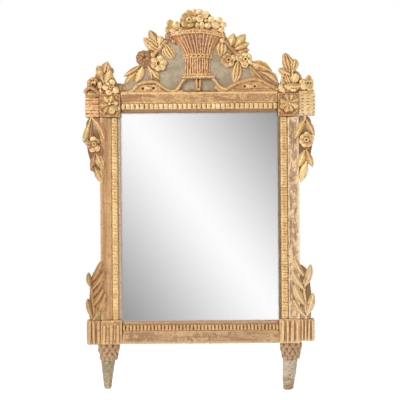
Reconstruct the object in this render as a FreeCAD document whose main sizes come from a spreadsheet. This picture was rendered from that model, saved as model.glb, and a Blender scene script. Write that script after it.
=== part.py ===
import FreeCAD, Part
import math
import os
import Sketcher
from FreeCAD import Placement, Rotation, Vector

# A carved and gilded wall mirror. X runs to the right, Y from the front to the wall and Z up.
# The wall plane is y = 0 and the origin is the middle of the top rail's back.

# Driving dimensions, in millimetres. A depth is measured forward from the wall plane.
sizes = {
    # Stiles and rails
    "sight_width": 392,
    "sight_height": 520,
    "moulding_width": 52,
    "bottom_rail_height": 56,
    "frame_thickness": 30,
    "outer_fillet": 5,
    "lip_width": 8,
    "lip_edge_depth": 18,
    "lip_depth": 21,
    "seat_depth": 19,
    "ribbed_width": 16,
    "slope_depth": 24,
    "rebate_width": 8,
    "rebate_depth": 14,
    # Corner joints
    "tenon_length": 24,
    "tenon_thickness": 7,
    "tenon_height": 26,
    "tenon_set_back": 5,
    "joint_clearance": 0.1,
    "peg_radius": 3,
    "peg_length": 15,
    # Ribbed mouldings
    "rib_height": 8,
    "rib_groove": 2.4,
    "top_rib_pitch": 11.1,
    "bottom_rib_pitch": 9,
    "side_rib_pitch": 6.4,
    "side_rib_groove": 1.2,
    # Corner blocks and the ears beside them
    "top_block_drop": 4.5,
    "top_block_height": 58,
    "bottom_block_height": 60,
    "block_depth": 36,
    "block_chamfer": 1.5,
    "ear_width": 36,
    "ear_depth": 31,
    "ear_bottom_height": 56,
    "flute_radius": 2.6,
    "ear_flute_pitch": 9.2,
    "ear_foot_flute_pitch": 10.5,
    "block_flute_pitch": 13.5,
    "flute_end_margin": 4,
    "rosette_radius": 23,
    "rosette_rise": 8,
    # Feet
    "knop_radius": 25.5,
    "knop_neck_radius": 16.5,
    "knop_height": 40,
    "knop_scale_rise": 2.2,
    "foot_height": 74,
    "foot_tip_radius": 9,
    "foot_tip_round": 3,
    "dowel_radius": 4,
    "dowel_depth": 8,
    "dowel_foot_length": 22,
    "dowel_stile_length": 9,
    # Crest
    "crest_board_thickness": 20,
    "basket_rise": 22,
    "flower_rise": 15,
    "leaf_rise": 10,
    "scroll_rise": 9,
    "hole_radius": 2.6,
    # Corner sprays, side drops and laurel branches
    "spray_rise": 15,
    "drop_rise": 15,
    # Glass and back
    "glass_thickness": 3,
    "glass_clearance": 1,
    "backboard_thickness": 7,
    "backboard_gap": 0.5,
    "plank_gap": 0.6,
    "brad_radius": 0.9,
    "brad_length": 16,
    "brad_hole_length": 9,
    # Crest battens and their screws
    "batten_width": 40,
    "batten_thickness": 8,
    "batten_foot": 12,
    "screw_radius": 2,
    "screw_length": 14,
    "screw_head_radius": 3.8,
    "screw_head_height": 2,
    "screw_inset": 9,
    # Hanging rings and the eyes that hold them
    "eye_drop": 70,
    "eye_stand_off": 9.5,
    "eye_bore_radius": 4,
    "eye_wall": 3,
    "shank_radius": 2,
    "shank_length": 13,
    "ring_radius": 17,
    "ring_bar": 2.6,
    "ring_seat_gap": 0.3,
    # The allowance by which a cut runs past a surface
    "overrun": 20,
}

# The carvings are drawn on squared paper, so their tables are shares: counts of squares.
crest_squares_across_share = 157
corner_squares_across_share = 35

# A foot stands at this share of the moulding's width, outwards from the sight edge
foot_place_share = 0.577

# Where the crest battens stand and how far up the crest they reach, as shares of the sight width
batten_place_share, batten_reach_share = 0.28, 0.18

doc = FreeCAD.newDocument("giltwood_mirror")
sheet = doc.addObject("Spreadsheet::Sheet", "Sizes")
for row, (alias, value) in enumerate(sizes.items(), start=1):
    sheet.set(f"A{row}", alias)
    sheet.set(f"B{row}", str(value))
    sheet.setAlias(f"B{row}", alias)
doc.recompute()
size = {alias: float(getattr(sheet, alias)) for alias in sizes}

# Places that several pieces share, as expressions on the sheet
rail_top = "Sizes.moulding_width / 2"
sight_top = "(-Sizes.moulding_width / 2)"
sight_bottom = "(-Sizes.moulding_width / 2 - Sizes.sight_height)"
rail_low = f"({sight_bottom} - Sizes.bottom_rail_height)"
sight_side = "Sizes.sight_width / 2"
stile_edge = "(Sizes.sight_width / 2 + Sizes.moulding_width)"
top_block_top = f"({rail_top} - Sizes.top_block_drop)"
top_block_low = f"({top_block_top} - Sizes.top_block_height)"
bottom_block_top = f"({rail_low} + Sizes.bottom_block_height)"
top_tenon_middle = "Sizes.rebate_width / 2"
bottom_tenon_middle = f"({rail_low} + (Sizes.bottom_rail_height - Sizes.rebate_width) / 2)"
foot_middle = f"({sight_side} + Sizes.moulding_width * {foot_place_share})"
batten_middle = f"(Sizes.sight_width * {batten_place_share})"
batten_top = f"({rail_top} + Sizes.sight_width * {batten_reach_share})"
eye_height = f"({sight_top} - Sizes.eye_drop)"
eye_middle = "(Sizes.sight_width / 2 + Sizes.moulding_width / 2)"
plank_back = "(Sizes.rebate_depth - Sizes.glass_thickness - Sizes.backboard_gap - Sizes.backboard_thickness)"

# The same places as numbers, for the pieces that are not sketched
rail_top_z = size["moulding_width"] / 2
sight_top_z = -size["moulding_width"] / 2
sight_bottom_z = sight_top_z - size["sight_height"]
rail_low_z = sight_bottom_z - size["bottom_rail_height"]
sight_side_x = size["sight_width"] / 2
stile_edge_x = sight_side_x + size["moulding_width"]
top_block_top_z = rail_top_z - size["top_block_drop"]
top_block_low_z = top_block_top_z - size["top_block_height"]
bottom_block_top_z = rail_low_z + size["bottom_block_height"]
foot_middle_x = sight_side_x + size["moulding_width"] * foot_place_share

parts = []


# Sketching helpers

def new_body(label):
    body = doc.addObject("PartDesign::Body", label)
    body.Label = label
    parts.append(body)
    return body


def new_sketch(body, role, offset="0"):
    sketch = body.newObject("Sketcher::SketchObject", "Sketch")
    plane = next(f for f in body.Origin.OriginFeatures if f.Role == role)
    sketch.AttachmentSupport = [(plane, "")]
    sketch.MapMode = "FlatFace"
    if offset != "0":
        sketch.setExpression("AttachmentOffset.Base.z", offset)
    return sketch


def pin_point(sketch, line, end, point, start):
    """Ties one end of a sketch line to a pair of expressions."""
    for kind, axis, value, at in (
        ("DistanceX", -2, point[0], start.x),
        ("DistanceY", -1, point[1], start.y),
    ):
        if value == "0":
            sketch.addConstraint(Sketcher.Constraint("PointOnObject", line, end, axis))
        else:
            index = sketch.addConstraint(Sketcher.Constraint(kind, -1, 1, line, end, at))
            sketch.setExpression(f"Constraints[{index}]", value)


def outline(sketch, points):
    """Draws a closed outline whose corners are pairs of expressions."""
    count = len(points)
    starts = [
        Vector(math.cos(2 * math.pi * i / count), math.sin(2 * math.pi * i / count), 0)
        for i in range(count)
    ]
    first = sketch.GeometryCount
    for i in range(count):
        sketch.addGeometry(Part.LineSegment(starts[i], starts[(i + 1) % count]), False)
    for i in range(count):
        join = Sketcher.Constraint("Coincident", first + i, 2, first + (i + 1) % count, 1)
        sketch.addConstraint(join)
    for i, point in enumerate(points):
        pin_point(sketch, first + i, 1, point, starts[i])


def rectangle(sketch, low_x, low_y, high_x, high_y):
    outline(sketch, [(low_x, low_y), (high_x, low_y), (high_x, high_y), (low_x, high_y)])


def circle(sketch, x, y, radius):
    centre = Vector(1, 1, 0)
    index = sketch.addGeometry(Part.Circle(centre, Vector(0, 0, 1), 1), False)
    pin_point(sketch, index, 3, (x, y), centre)
    rule = sketch.addConstraint(Sketcher.Constraint("Radius", index, 1.0))
    sketch.setExpression(f"Constraints[{rule}]", radius)


def pad(body, sketch, length, backwards=False):
    feature = body.newObject("PartDesign::Pad", "Pad")
    feature.Profile = sketch
    feature.Reversed = backwards
    feature.setExpression("Length", length)
    return feature


def pocket(body, sketch, length, along_normal=True):
    """Cuts along the sketch plane's normal unless told to cut against it."""
    feature = body.newObject("PartDesign::Pocket", "Pocket")
    feature.Profile = sketch
    feature.Reversed = along_normal
    feature.setExpression("Length", length)
    return feature


def repeat(body, feature, direction, pitch, count):
    """Repeats a feature along one of the body's own axes."""
    pattern = body.newObject("PartDesign::LinearPattern", "LinearPattern")
    pattern.Originals = [feature]
    axis = next(f for f in body.Origin.OriginFeatures if f.Role == direction)
    pattern.Direction = (axis, [""])
    pattern.Mode = "Spacing"
    pattern.setExpression("Offset", pitch)
    pattern.Occurrences = count
    body.Tip = pattern
    return pattern


def mirror_copy(source, label):
    """Makes the left-hand twin of a right-hand piece."""
    twin = doc.addObject("Part::Mirroring", label)
    twin.Source = source
    twin.Normal = Vector(1, 0, 0)
    twin.Label = label
    parts.append(twin)
    return twin


def shape_part(label, shape):
    feature = doc.addObject("Part::Feature", label)
    feature.Shape = shape
    feature.Label = label
    parts.append(feature)
    return feature


# Stiles and rails

def moulding_section():
    """Corners of the moulding's section, as (distance from the sight edge, depth)."""
    seat_edge = "(Sizes.lip_width + Sizes.ribbed_width)"
    return [
        ("0", "0"),
        ("Sizes.moulding_width", "0"),
        ("Sizes.moulding_width", "Sizes.frame_thickness"),
        ("(Sizes.moulding_width - Sizes.outer_fillet)", "Sizes.frame_thickness"),
        (seat_edge, "Sizes.slope_depth"),
        (seat_edge, "Sizes.seat_depth"),
        ("Sizes.lip_width", "Sizes.seat_depth"),
        ("Sizes.lip_width", "Sizes.lip_depth"),
        ("0", "Sizes.lip_edge_depth"),
    ]


def make_stile():
    body = new_body("stile_right")
    section = new_sketch(body, "XY_Plane", rail_low)
    outline(section, [(f"{sight_side} + {u}", f"-{depth}" if depth != "0" else "0")
                      for u, depth in moulding_section()])
    pad(body, section, f"{top_block_top} - {rail_low}")

    rebate = new_sketch(body, "XZ_Plane")
    rectangle(rebate, f"{sight_side} - Sizes.overrun", f"{sight_bottom} - Sizes.rebate_width",
              f"{sight_side} + Sizes.rebate_width", f"{sight_top} + Sizes.rebate_width")
    pocket(body, rebate, "Sizes.rebate_depth")

    seats = new_sketch(body, "XZ_Plane", "Sizes.lip_edge_depth")
    inner, outer = f"{sight_side} - Sizes.overrun", f"{stile_edge} + Sizes.overrun"
    rectangle(seats, inner, top_block_low, outer, f"{top_block_top} + Sizes.overrun")
    rectangle(seats, inner, f"{rail_low} - Sizes.overrun", outer, bottom_block_top)
    pocket(body, seats, "Sizes.frame_thickness")

    mortises = new_sketch(body, "YZ_Plane", sight_side)
    front = "-(Sizes.tenon_set_back + Sizes.tenon_thickness + Sizes.joint_clearance)"
    back = "-(Sizes.tenon_set_back - Sizes.joint_clearance)"
    half = "(Sizes.tenon_height / 2 + Sizes.joint_clearance)"
    for middle in (top_tenon_middle, bottom_tenon_middle):
        rectangle(mortises, front, f"{middle} - {half}", back, f"{middle} + {half}")
    pocket(body, mortises, "Sizes.tenon_length + Sizes.joint_clearance")

    pegs = new_sketch(body, "XZ_Plane")
    for middle in (top_tenon_middle, bottom_tenon_middle):
        circle(pegs, f"{sight_side} + Sizes.tenon_length / 2", middle, "Sizes.peg_radius")
    pocket(body, pegs, "Sizes.peg_length")

    dowel = new_sketch(body, "XY_Plane", rail_low)
    circle(dowel, foot_middle, "-Sizes.dowel_depth", "Sizes.dowel_radius")
    pocket(body, dowel, "Sizes.dowel_stile_length")

    shank = new_sketch(body, "XZ_Plane")
    circle(shank, eye_middle, eye_height, "Sizes.shank_radius")
    pocket(body, shank, "Sizes.shank_length")

    brads = new_sketch(body, "YZ_Plane", f"{sight_side} + Sizes.rebate_width")
    level = f"-({plank_back} - Sizes.brad_radius)"
    for share in side_brad_shares:
        circle(brads, level, f"{sight_bottom} + Sizes.sight_height * {share}", "Sizes.brad_radius")
    pocket(body, brads, "Sizes.brad_hole_length")
    return body


# Brads stand at these shares of the opening's height and width
side_brad_shares = (0.08, 0.36, 0.64, 0.92)
rail_brad_shares = (0.12, 0.5, 0.88)


def rail_section(sketch, edge, sign):
    """Draws the moulding's section for a rail whose sight edge is at the given height."""
    outline(sketch, [(f"-{depth}" if depth != "0" else "0", f"{edge} {sign} {u}")
                     for u, depth in moulding_section()])


def make_rail(label, edge, sign, tenon_middle, outer_edge):
    body = new_body(label)
    section = new_sketch(body, "YZ_Plane", f"-{sight_side}")
    if sign == "+":
        rail_section(section, edge, sign)
    else:
        outer_shift = "(Sizes.bottom_rail_height - Sizes.moulding_width)"
        corners = []
        for u, depth in moulding_section():
            wide = u.startswith("Sizes.moulding_width") or u.startswith("(Sizes.moulding_width")
            shift = f" - {outer_shift}" if wide else ""
            corners.append((f"-{depth}" if depth != "0" else "0", f"{edge} - {u}{shift}"))
        outline(section, corners)
    pad(body, section, "Sizes.sight_width")

    tenon = new_sketch(body, "YZ_Plane", f"-({sight_side} + Sizes.tenon_length)")
    rectangle(tenon, "-(Sizes.tenon_set_back + Sizes.tenon_thickness)",
              f"{tenon_middle} - Sizes.tenon_height / 2",
              "-Sizes.tenon_set_back", f"{tenon_middle} + Sizes.tenon_height / 2")
    pad(body, tenon, "Sizes.sight_width + 2 * Sizes.tenon_length")

    rebate = new_sketch(body, "YZ_Plane", f"-{sight_side}")
    inner = f"{edge} {'-' if sign == '+' else '+'} Sizes.overrun"
    outer = f"{edge} {sign} Sizes.rebate_width"
    rectangle(rebate, "-Sizes.rebate_depth", inner, "Sizes.overrun", outer)
    pocket(body, rebate, "Sizes.sight_width")

    pegs = new_sketch(body, "XZ_Plane")
    for side in ("", "-"):
        circle(pegs, f"{side}({sight_side} + Sizes.tenon_length / 2)", tenon_middle, "Sizes.peg_radius")
    pocket(body, pegs, "Sizes.peg_length")

    brads = new_sketch(body, "XY_Plane", f"{edge} {sign} Sizes.rebate_width")
    level = f"-({plank_back} - Sizes.brad_radius)"
    for share in rail_brad_shares:
        circle(brads, f"Sizes.sight_width * {share} - {sight_side}", level, "Sizes.brad_radius")
    pocket(body, brads, "Sizes.brad_hole_length", along_normal=sign == "+")

    if label == "rail_top":
        housings = new_sketch(body, "XZ_Plane")
        for side in ("", "-"):
            middle = f"{side}{batten_middle}"
            rectangle(housings, f"{middle} - Sizes.batten_width / 2", "-Sizes.batten_foot",
                      f"{middle} + Sizes.batten_width / 2", f"{rail_top} + Sizes.overrun")
        pocket(body, housings, "Sizes.batten_thickness")
        screws = new_sketch(body, "XZ_Plane")
        for x, z in batten_screw_places()[:2]:
            circle(screws, x, z, "Sizes.screw_radius")
            circle(screws, f"-{x}", z, "Sizes.screw_radius")
        pocket(body, screws, "Sizes.screw_head_height + Sizes.screw_length")
    return body


def batten_screw_places():
    """Screws of the right-hand batten, the two that enter the rail first."""
    low = "(Sizes.screw_inset - Sizes.batten_foot)"
    high = f"({batten_top} - Sizes.screw_inset)"
    left = f"({batten_middle} - Sizes.batten_width / 2 + Sizes.screw_inset)"
    right = f"({batten_middle} + Sizes.batten_width / 2 - Sizes.screw_inset)"
    return [(left, low), (right, low), (left, high), (right, high)]


# Ribbed mouldings

def ribbed_strip(length, pitch, groove):
    """A strip along X, ribbed across, with chamfered long edges and its back on y = 0."""
    height = size["rib_height"]
    width = size["ribbed_width"]
    count = max(1, round(length / pitch))
    step = length / count
    floor = height - groove
    crest_share, chamfer_share = 0.34, 0.26
    points = [Vector(0, 0, 0), Vector(0, -floor, 0)]
    for i in range(count):
        middle = (i + 0.5) * step
        points.append(Vector(middle - step * crest_share, -height, 0))
        points.append(Vector(middle + step * crest_share, -height, 0))
        points.append(Vector((i + 1) * step, -floor, 0))
    points.append(Vector(length, 0, 0))
    ribs = Part.Face(Part.makePolygon([*points, points[0]])).extrude(Vector(0, 0, width))
    edge = width * chamfer_share
    section = [
        Vector(0, 0, 0),
        Vector(0, 0, width),
        Vector(0, -floor + groove, width),
        Vector(0, -height, width - edge),
        Vector(0, -height, edge),
        Vector(0, -floor + groove, 0),
    ]
    bar = Part.Face(Part.makePolygon([*section, section[0]])).extrude(Vector(length, 0, 0))
    return ribs.common(bar)


def make_ribbed_mouldings():
    seat = -size["seat_depth"]
    low_u, wide = size["lip_width"], size["ribbed_width"]
    strip = ribbed_strip(size["sight_width"], size["top_rib_pitch"], size["rib_groove"])
    top = shape_part("ribbed_moulding_top", strip)
    top.Placement = Placement(Vector(-sight_side_x, seat, sight_top_z + low_u), Rotation())
    strip = ribbed_strip(size["sight_width"], size["bottom_rib_pitch"], size["rib_groove"])
    bottom = shape_part("ribbed_moulding_bottom", strip)
    bottom.Placement = Placement(Vector(-sight_side_x, seat, sight_bottom_z - low_u - wide), Rotation())
    run = top_block_low_z - bottom_block_top_z
    strip = ribbed_strip(run, size["side_rib_pitch"], size["side_rib_groove"])
    right = shape_part("ribbed_moulding_right", strip)
    upright = Rotation(Vector(0, 1, 0), -90)
    right.Placement = Placement(Vector(sight_side_x + low_u + wide, seat, bottom_block_top_z), upright)
    mirror_copy(right, "ribbed_moulding_left")


# Corner blocks and ears

def make_top_block():
    body = new_body("corner_block_top_right")
    face = new_sketch(body, "XZ_Plane", "Sizes.lip_edge_depth")
    rectangle(face, sight_side, top_block_low, stile_edge, top_block_top)
    block = pad(body, face, "Sizes.block_depth - Sizes.lip_edge_depth")
    doc.recompute()
    front = next(f"Face{i}" for i, f in enumerate(block.Shape.Faces, start=1)
                 if f.CenterOfMass.y < -size["block_depth"] + size["joint_clearance"])
    chamfer = body.newObject("PartDesign::Chamfer", "Chamfer")
    chamfer.Base = (block, [front])
    chamfer.setExpression("Size", "Sizes.block_chamfer")
    return body


def make_top_ear():
    body = new_body("ear_top_right")
    face = new_sketch(body, "XZ_Plane")
    rectangle(face, stile_edge, top_block_low, f"{stile_edge} + Sizes.ear_width", top_block_top)
    pad(body, face, "Sizes.ear_depth")
    flute = new_sketch(body, "YZ_Plane", f"{stile_edge} + Sizes.flute_end_margin")
    circle(flute, "-(Sizes.ear_depth + Sizes.flute_radius / 3)",
           f"{top_block_low} + Sizes.ear_flute_pitch * 0.65", "Sizes.flute_radius")
    cut = pocket(body, flute, "Sizes.ear_width")
    repeat(body, cut, "Z_Axis", "Sizes.ear_flute_pitch", ear_flute_count)
    return body


ear_flute_count = 6
ear_foot_flute_count = 3
block_flute_count = 4


def make_bottom_block():
    body = new_body("corner_block_bottom_right")
    face = new_sketch(body, "XZ_Plane", "Sizes.lip_edge_depth")
    rectangle(face, sight_side, rail_low, stile_edge, bottom_block_top)
    pad(body, face, "Sizes.block_depth - Sizes.lip_edge_depth")
    flute = new_sketch(body, "XY_Plane", f"{rail_low} - Sizes.overrun")
    circle(flute, f"{sight_side} + Sizes.block_flute_pitch * 0.45",
           "-(Sizes.block_depth + Sizes.flute_radius / 4)", "Sizes.flute_radius * 1.35")
    cut = pocket(body, flute, "Sizes.overrun + Sizes.bottom_block_height - Sizes.flute_end_margin")
    repeat(body, cut, "X_Axis", "Sizes.block_flute_pitch", block_flute_count)
    return body


def make_bottom_ear():
    body = new_body("ear_bottom_right")
    face = new_sketch(body, "XZ_Plane")
    rectangle(face, stile_edge, f"{bottom_block_top} - Sizes.ear_bottom_height",
              f"{stile_edge} + Sizes.ear_width", bottom_block_top)
    pad(body, face, "Sizes.ear_depth")
    flute = new_sketch(body, "XY_Plane", f"{bottom_block_top} - Sizes.ear_bottom_height - Sizes.overrun")
    circle(flute, f"{stile_edge} + Sizes.ear_foot_flute_pitch * 0.7",
           "-(Sizes.ear_depth + Sizes.flute_radius / 3)", "Sizes.flute_radius")
    cut = pocket(body, flute, "Sizes.ear_bottom_height + 2 * Sizes.overrun")
    repeat(body, cut, "X_Axis", "Sizes.ear_foot_flute_pitch", ear_foot_flute_count)
    return body


# Carving helpers

class Grid:
    """Squared paper laid on a ground plane, on which a carving is drawn."""

    def __init__(self, x, z, square, ground, across=1, up=1):
        self.x = x
        self.z = z
        self.square = square
        self.ground = ground
        self.across = across
        self.up = up

    def at(self, across, up, rise=0):
        x = self.x + across * self.square * self.across
        z = self.z + up * self.square * self.up
        return Vector(x, -(self.ground + rise), z)


def raised(point, rise):
    return Vector(point.x, point.y - rise, point.z)


def polygon_face(points):
    return Part.Face(Part.makePolygon([*points, points[0]]))


def closed_solid(faces):
    solid = Part.Solid(Part.Shell(faces))
    if solid.Volume < 0:
        solid.reverse()
    return solid


def sides_and_back(edge, ground):
    """Drops a carved front's edge onto the ground plane and closes the back."""
    feet = [Vector(point.x, -ground, point.z) for point in edge]
    faces = [polygon_face(feet)]
    for i in range(len(edge)):
        j = (i + 1) % len(edge)
        corners = [edge[i], edge[j]]
        if not edge[j].isEqual(feet[j], 1e-7):
            corners.append(feet[j])
        if not edge[i].isEqual(feet[i], 1e-7):
            corners.append(feet[i])
        if len(corners) > 2:
            faces.append(polygon_face(corners))
    return faces


def relief(rows, ground):
    """A carved solid whose front passes through rows of points."""
    faces = []
    for low, high in zip(rows, rows[1:]):
        for i in range(len(low) - 1):
            faces.append(polygon_face([low[i], low[i + 1], high[i + 1]]))
            faces.append(polygon_face([low[i], high[i + 1], high[i]]))
    far_side = [row[-1] for row in rows[1:]]
    near_side = [row[0] for row in rows[-2:0:-1]]
    edge = rows[0] + far_side + rows[-1][-2::-1] + near_side
    return closed_solid(faces + sides_and_back(edge, ground))


def boss(rings, centre, ground):
    """A carved solid whose front rises from rings of points to a centre."""
    inner = rings[-1]
    count = len(inner)
    faces = [polygon_face([inner[i], inner[(i + 1) % count], centre]) for i in range(count)]
    for low, high in zip(rings, rings[1:]):
        for i in range(count):
            j = (i + 1) % count
            faces.append(polygon_face([low[i], low[j], high[j]]))
            faces.append(polygon_face([low[i], high[j], high[i]]))
    return closed_solid(faces + sides_and_back(rings[0], ground))


# A leaf's rows: how far along it they lie, how wide and how high the leaf is there
leaf_row_shares = ((0, 0.34, 0.55), (0.32, 0.92, 0.92), (0.62, 1, 1), (0.86, 0.56, 0.8), (1, 0.12, 0.45))
leaf_edge_share = 0.4
leaf_valley_share = 0.6


def leaf(grid, base, tip, width, rise, ridges=2):
    """A leaf with a groove between each pair of ridges."""
    along = tip - base
    side = along.cross(Vector(0, 1, 0)).normalize()
    rows = []
    for place, wide, high in leaf_row_shares:
        row = []
        for k in range(2 * ridges + 1):
            across = k / ridges - 1
            level = 1 if k % 2 else leaf_valley_share
            if k in (0, 2 * ridges):
                level = leaf_edge_share
            point = base + along * place + side * (across * width / 2 * wide)
            row.append(raised(point, rise * high * level))
        rows.append(row)
    return relief(rows, grid.ground)


# A flower's rings: share of its radius, height on a petal and height between petals
flower_ring_shares = ((1, 0.5, 0.34), (0.66, 0.92, 0.6), (0.28, 0.55, 0.5))
petal_outline_shares = (0.74, 0.96, 1, 0.96)
hollow_share, boss_share = 0.22, 1


def flower(grid, centre, radius, petals, rise, hollow, turn=0):
    """An open flower, with a hollow or a boss in the middle."""
    steps = len(petal_outline_shares)
    rings = []
    for reach, on_petal, between in flower_ring_shares:
        ring = []
        for k in range(petals * steps):
            angle = turn + 2 * math.pi * k / (petals * steps)
            lobe = petal_outline_shares[k % steps]
            reach_here = radius * reach * (lobe if reach > flower_ring_shares[-1][0] else 1)
            level = between if k % steps == 0 else on_petal
            arm = Vector(math.cos(angle) * reach_here, -rise * level, math.sin(angle) * reach_here)
            ring.append(centre + arm)
        rings.append(ring)
    middle = raised(centre, rise * (hollow_share if hollow else boss_share))
    return boss(rings, middle, grid.ground)


bud_ring_shares = ((1, 0.45), (0.62, 0.86))
bud_sides = 7


def bud(grid, centre, radius, rise):
    """A berry or a closed bud, as a low faceted boss."""
    rings = []
    for reach, level in bud_ring_shares:
        angles = [2 * math.pi * k / bud_sides for k in range(bud_sides)]
        rings.append([
            centre + Vector(math.cos(a) * radius * reach, -rise * level, math.sin(a) * radius * reach)
            for a in angles
        ])
    return boss(rings, raised(centre, rise), grid.ground)


# Sections across a band: share of the half width and of the rise
stem_section_shares = ((-1, 0.5), (-0.4, 1), (0.4, 1), (1, 0.5))
scroll_section_shares = ((-1, 0.5), (-0.7, 1), (-0.1, 0.62), (0.6, 0.9), (1, 0.42))


def band(grid, path, width, rise, section, steps):
    """A moulded band along a smooth path through the given points."""
    if len(path) > 2:
        curve = Part.BSplineCurve()
        curve.interpolate(path)
    else:
        curve = Part.LineSegment(*path)
    rows = []
    for k in range(steps + 1):
        at = curve.FirstParameter + (curve.LastParameter - curve.FirstParameter) * k / steps
        point = curve.value(at)
        side = curve.tangent(at)[0].cross(Vector(0, 1, 0)).normalize()
        rows.append([raised(point + side * (across * width / 2), rise * level) for across, level in section])
    return relief(rows, grid.ground)


def carve(grid, rise, leaves=(), flowers=(), buds=(), stems=()):
    """Fuses a carving drawn in squares of its grid into one solid."""
    pieces = []
    for x0, z0, x1, z1, width, high, ridges in leaves:
        pieces.append(leaf(grid, grid.at(x0, z0), grid.at(x1, z1), width * grid.square, rise * high, ridges))
    for x, z, radius, petals, high, hollow in flowers:
        pieces.append(flower(grid, grid.at(x, z), radius * grid.square, petals, rise * high, hollow))
    for x, z, radius, high in buds:
        pieces.append(bud(grid, grid.at(x, z), radius * grid.square, rise * high))
    for points, width, high in stems:
        path = [grid.at(x, z) for x, z in points]
        steps = 2 * len(path)
        pieces.append(band(grid, path, width * grid.square, rise * high, stem_section_shares, steps))
    return pieces[0].multiFuse(pieces[1:]) if len(pieces) > 1 else pieces[0]


# Crest

crest_square = size["sight_width"] / crest_squares_across_share
crest = Grid(0, rail_top_z, crest_square, size["crest_board_thickness"])

crest_outline_shares = (
    (-78.5, 6), (-72, 13), (-64, 20.5), (-56, 28), (-52, 37), (-48, 45), (-41, 50.5), (-34, 54),
    (-28, 61), (-17, 69), (-4, 75), (8, 73.5), (17.4, 68), (24.6, 60.4), (29, 54), (38, 51),
    (45, 45), (48, 37), (54, 28.5), (65, 21), (72, 14.5), (78.5, 5),
)


def make_crest_board():
    half = crest_squares_across_share / 2
    curve = Part.BSplineCurve()
    curve.interpolate([crest_flat(x, z) for x, z in crest_outline_shares])
    foot = Part.makePolygon([crest_flat(half, crest_outline_shares[-1][1]), crest_flat(half, 0),
                             crest_flat(-half, 0), crest_flat(-half, crest_outline_shares[0][1])])
    blank = Part.Face(Part.Wire([curve.toShape(), *foot.Edges])).extrude(
        Vector(0, -size["crest_board_thickness"], 0))
    board_shape = doc.addObject("Part::Feature", "crest_board_blank")
    board_shape.Shape = blank
    tools = []
    for side in (1, -1):
        housing = doc.addObject("Part::Box", "crest_housing")
        housing.setExpression("Length", "Sizes.batten_width")
        housing.setExpression("Width", "Sizes.batten_thickness")
        housing.setExpression("Height", f"{batten_top} + Sizes.batten_foot")
        housing.setExpression("Placement.Base.x", f"{side} * {batten_middle} - Sizes.batten_width / 2")
        housing.setExpression("Placement.Base.y", "-Sizes.batten_thickness")
        housing.setExpression("Placement.Base.z", "-Sizes.batten_foot")
        tools.append(housing)
        for x, z in batten_screw_places()[2:]:
            tools.append(rod("screw_hole", f"{side} * {x}", "0", z, "Sizes.screw_radius",
                             "Sizes.screw_head_height + Sizes.screw_length", forward))
    cutters = doc.addObject("Part::MultiFuse", "crest_cutters")
    cutters.Shapes = tools
    part = doc.addObject("Part::Cut", "crest_board")
    part.Base = board_shape
    part.Tool = cutters
    part.Label = "crest_board"
    parts.append(part)


def crest_flat(x, z):
    """A place on the crest's squared drawing, taken on the wall plane."""
    point = crest.at(x, z)
    return Vector(point.x, 0, point.z)


# Directions for rods: towards the front, upwards and towards the right
forward = Rotation(Vector(1, 0, 0), 90)
upward = Rotation()
rightward = Rotation(Vector(0, 1, 0), 90)


def rod(label, x, y, z, radius, length, turn):
    cylinder = doc.addObject("Part::Cylinder", label)
    cylinder.Placement = Placement(Vector(), turn)
    cylinder.setExpression("Radius", radius)
    cylinder.setExpression("Height", length)
    for axis, value in (("x", x), ("y", y), ("z", z)):
        cylinder.setExpression(f"Placement.Base.{axis}", value)
    return cylinder


def group(label, pieces):
    compound = doc.addObject("Part::Compound", label)
    compound.Links = pieces
    compound.Label = label
    parts.append(compound)
    return compound


# The basket's rows: height, middle, half width, arch of the row, bulge and depth of the splint grooves
basket_row_shares = (
    (16.5, -0.6, 13.4, 0, 0.62, 0), (19, -0.6, 13.4, 0, 0.62, 0), (19.6, -0.9, 12.4, 0, 0.5, 0.16),
    (33.4, -0.9, 12.4, 0, 0.5, 0.16), (34, -0.2, 13.9, 0, 0.68, 0), (37.4, -0.2, 13.9, 0, 0.68, 0),
    (38, -0.2, 13.2, 0, 0.56, 0.16), (44, -0.8, 16.6, 0.6, 0.62, 0.16), (49.5, -2, 21.8, 1.6, 0.72, 0.16),
    (53, -3.4, 27, 3.2, 0.8, 0.16), (54, -3.8, 29, 4, 1, 0), (57.6, -3.8, 29.9, 4.6, 1, 0),
)
splint_count = 13
basket_flank_share = 0.45


def make_basket():
    """The flared basket: splints between a plaited waist, a foot ring and an arched rim."""
    rows = []
    for up, middle, half, arch, bulge, groove in basket_row_shares:
        row = []
        for k in range(2 * splint_count + 1):
            across = k / splint_count - 1
            round_share = basket_flank_share + (1 - basket_flank_share) * math.sqrt(1 - across * across)
            level = bulge * round_share - (0 if k % 2 else groove * bulge)
            height = up + arch * (1 - across * across)
            row.append(crest.at(middle + across * half, height, size["basket_rise"] * level))
        rows.append(row)
    return relief(rows, crest.ground)


stand_path_shares = (
    (((-15.4, 14.3), (15.3, 14.3)), 4.4, 0.8),
    (((-13.6, 14), (-14.6, 9), (-17.6, 4.6), (-22, 2.4)), 3.6, 0.66),
    (((13.6, 14), (15, 9), (18.6, 5.4), (23, 3.6)), 3.6, 0.66),
)
stand_drop_shares = ((-1.2, 13, -1.2, 0.6, 7.4, 0.74, 2),)

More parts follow.
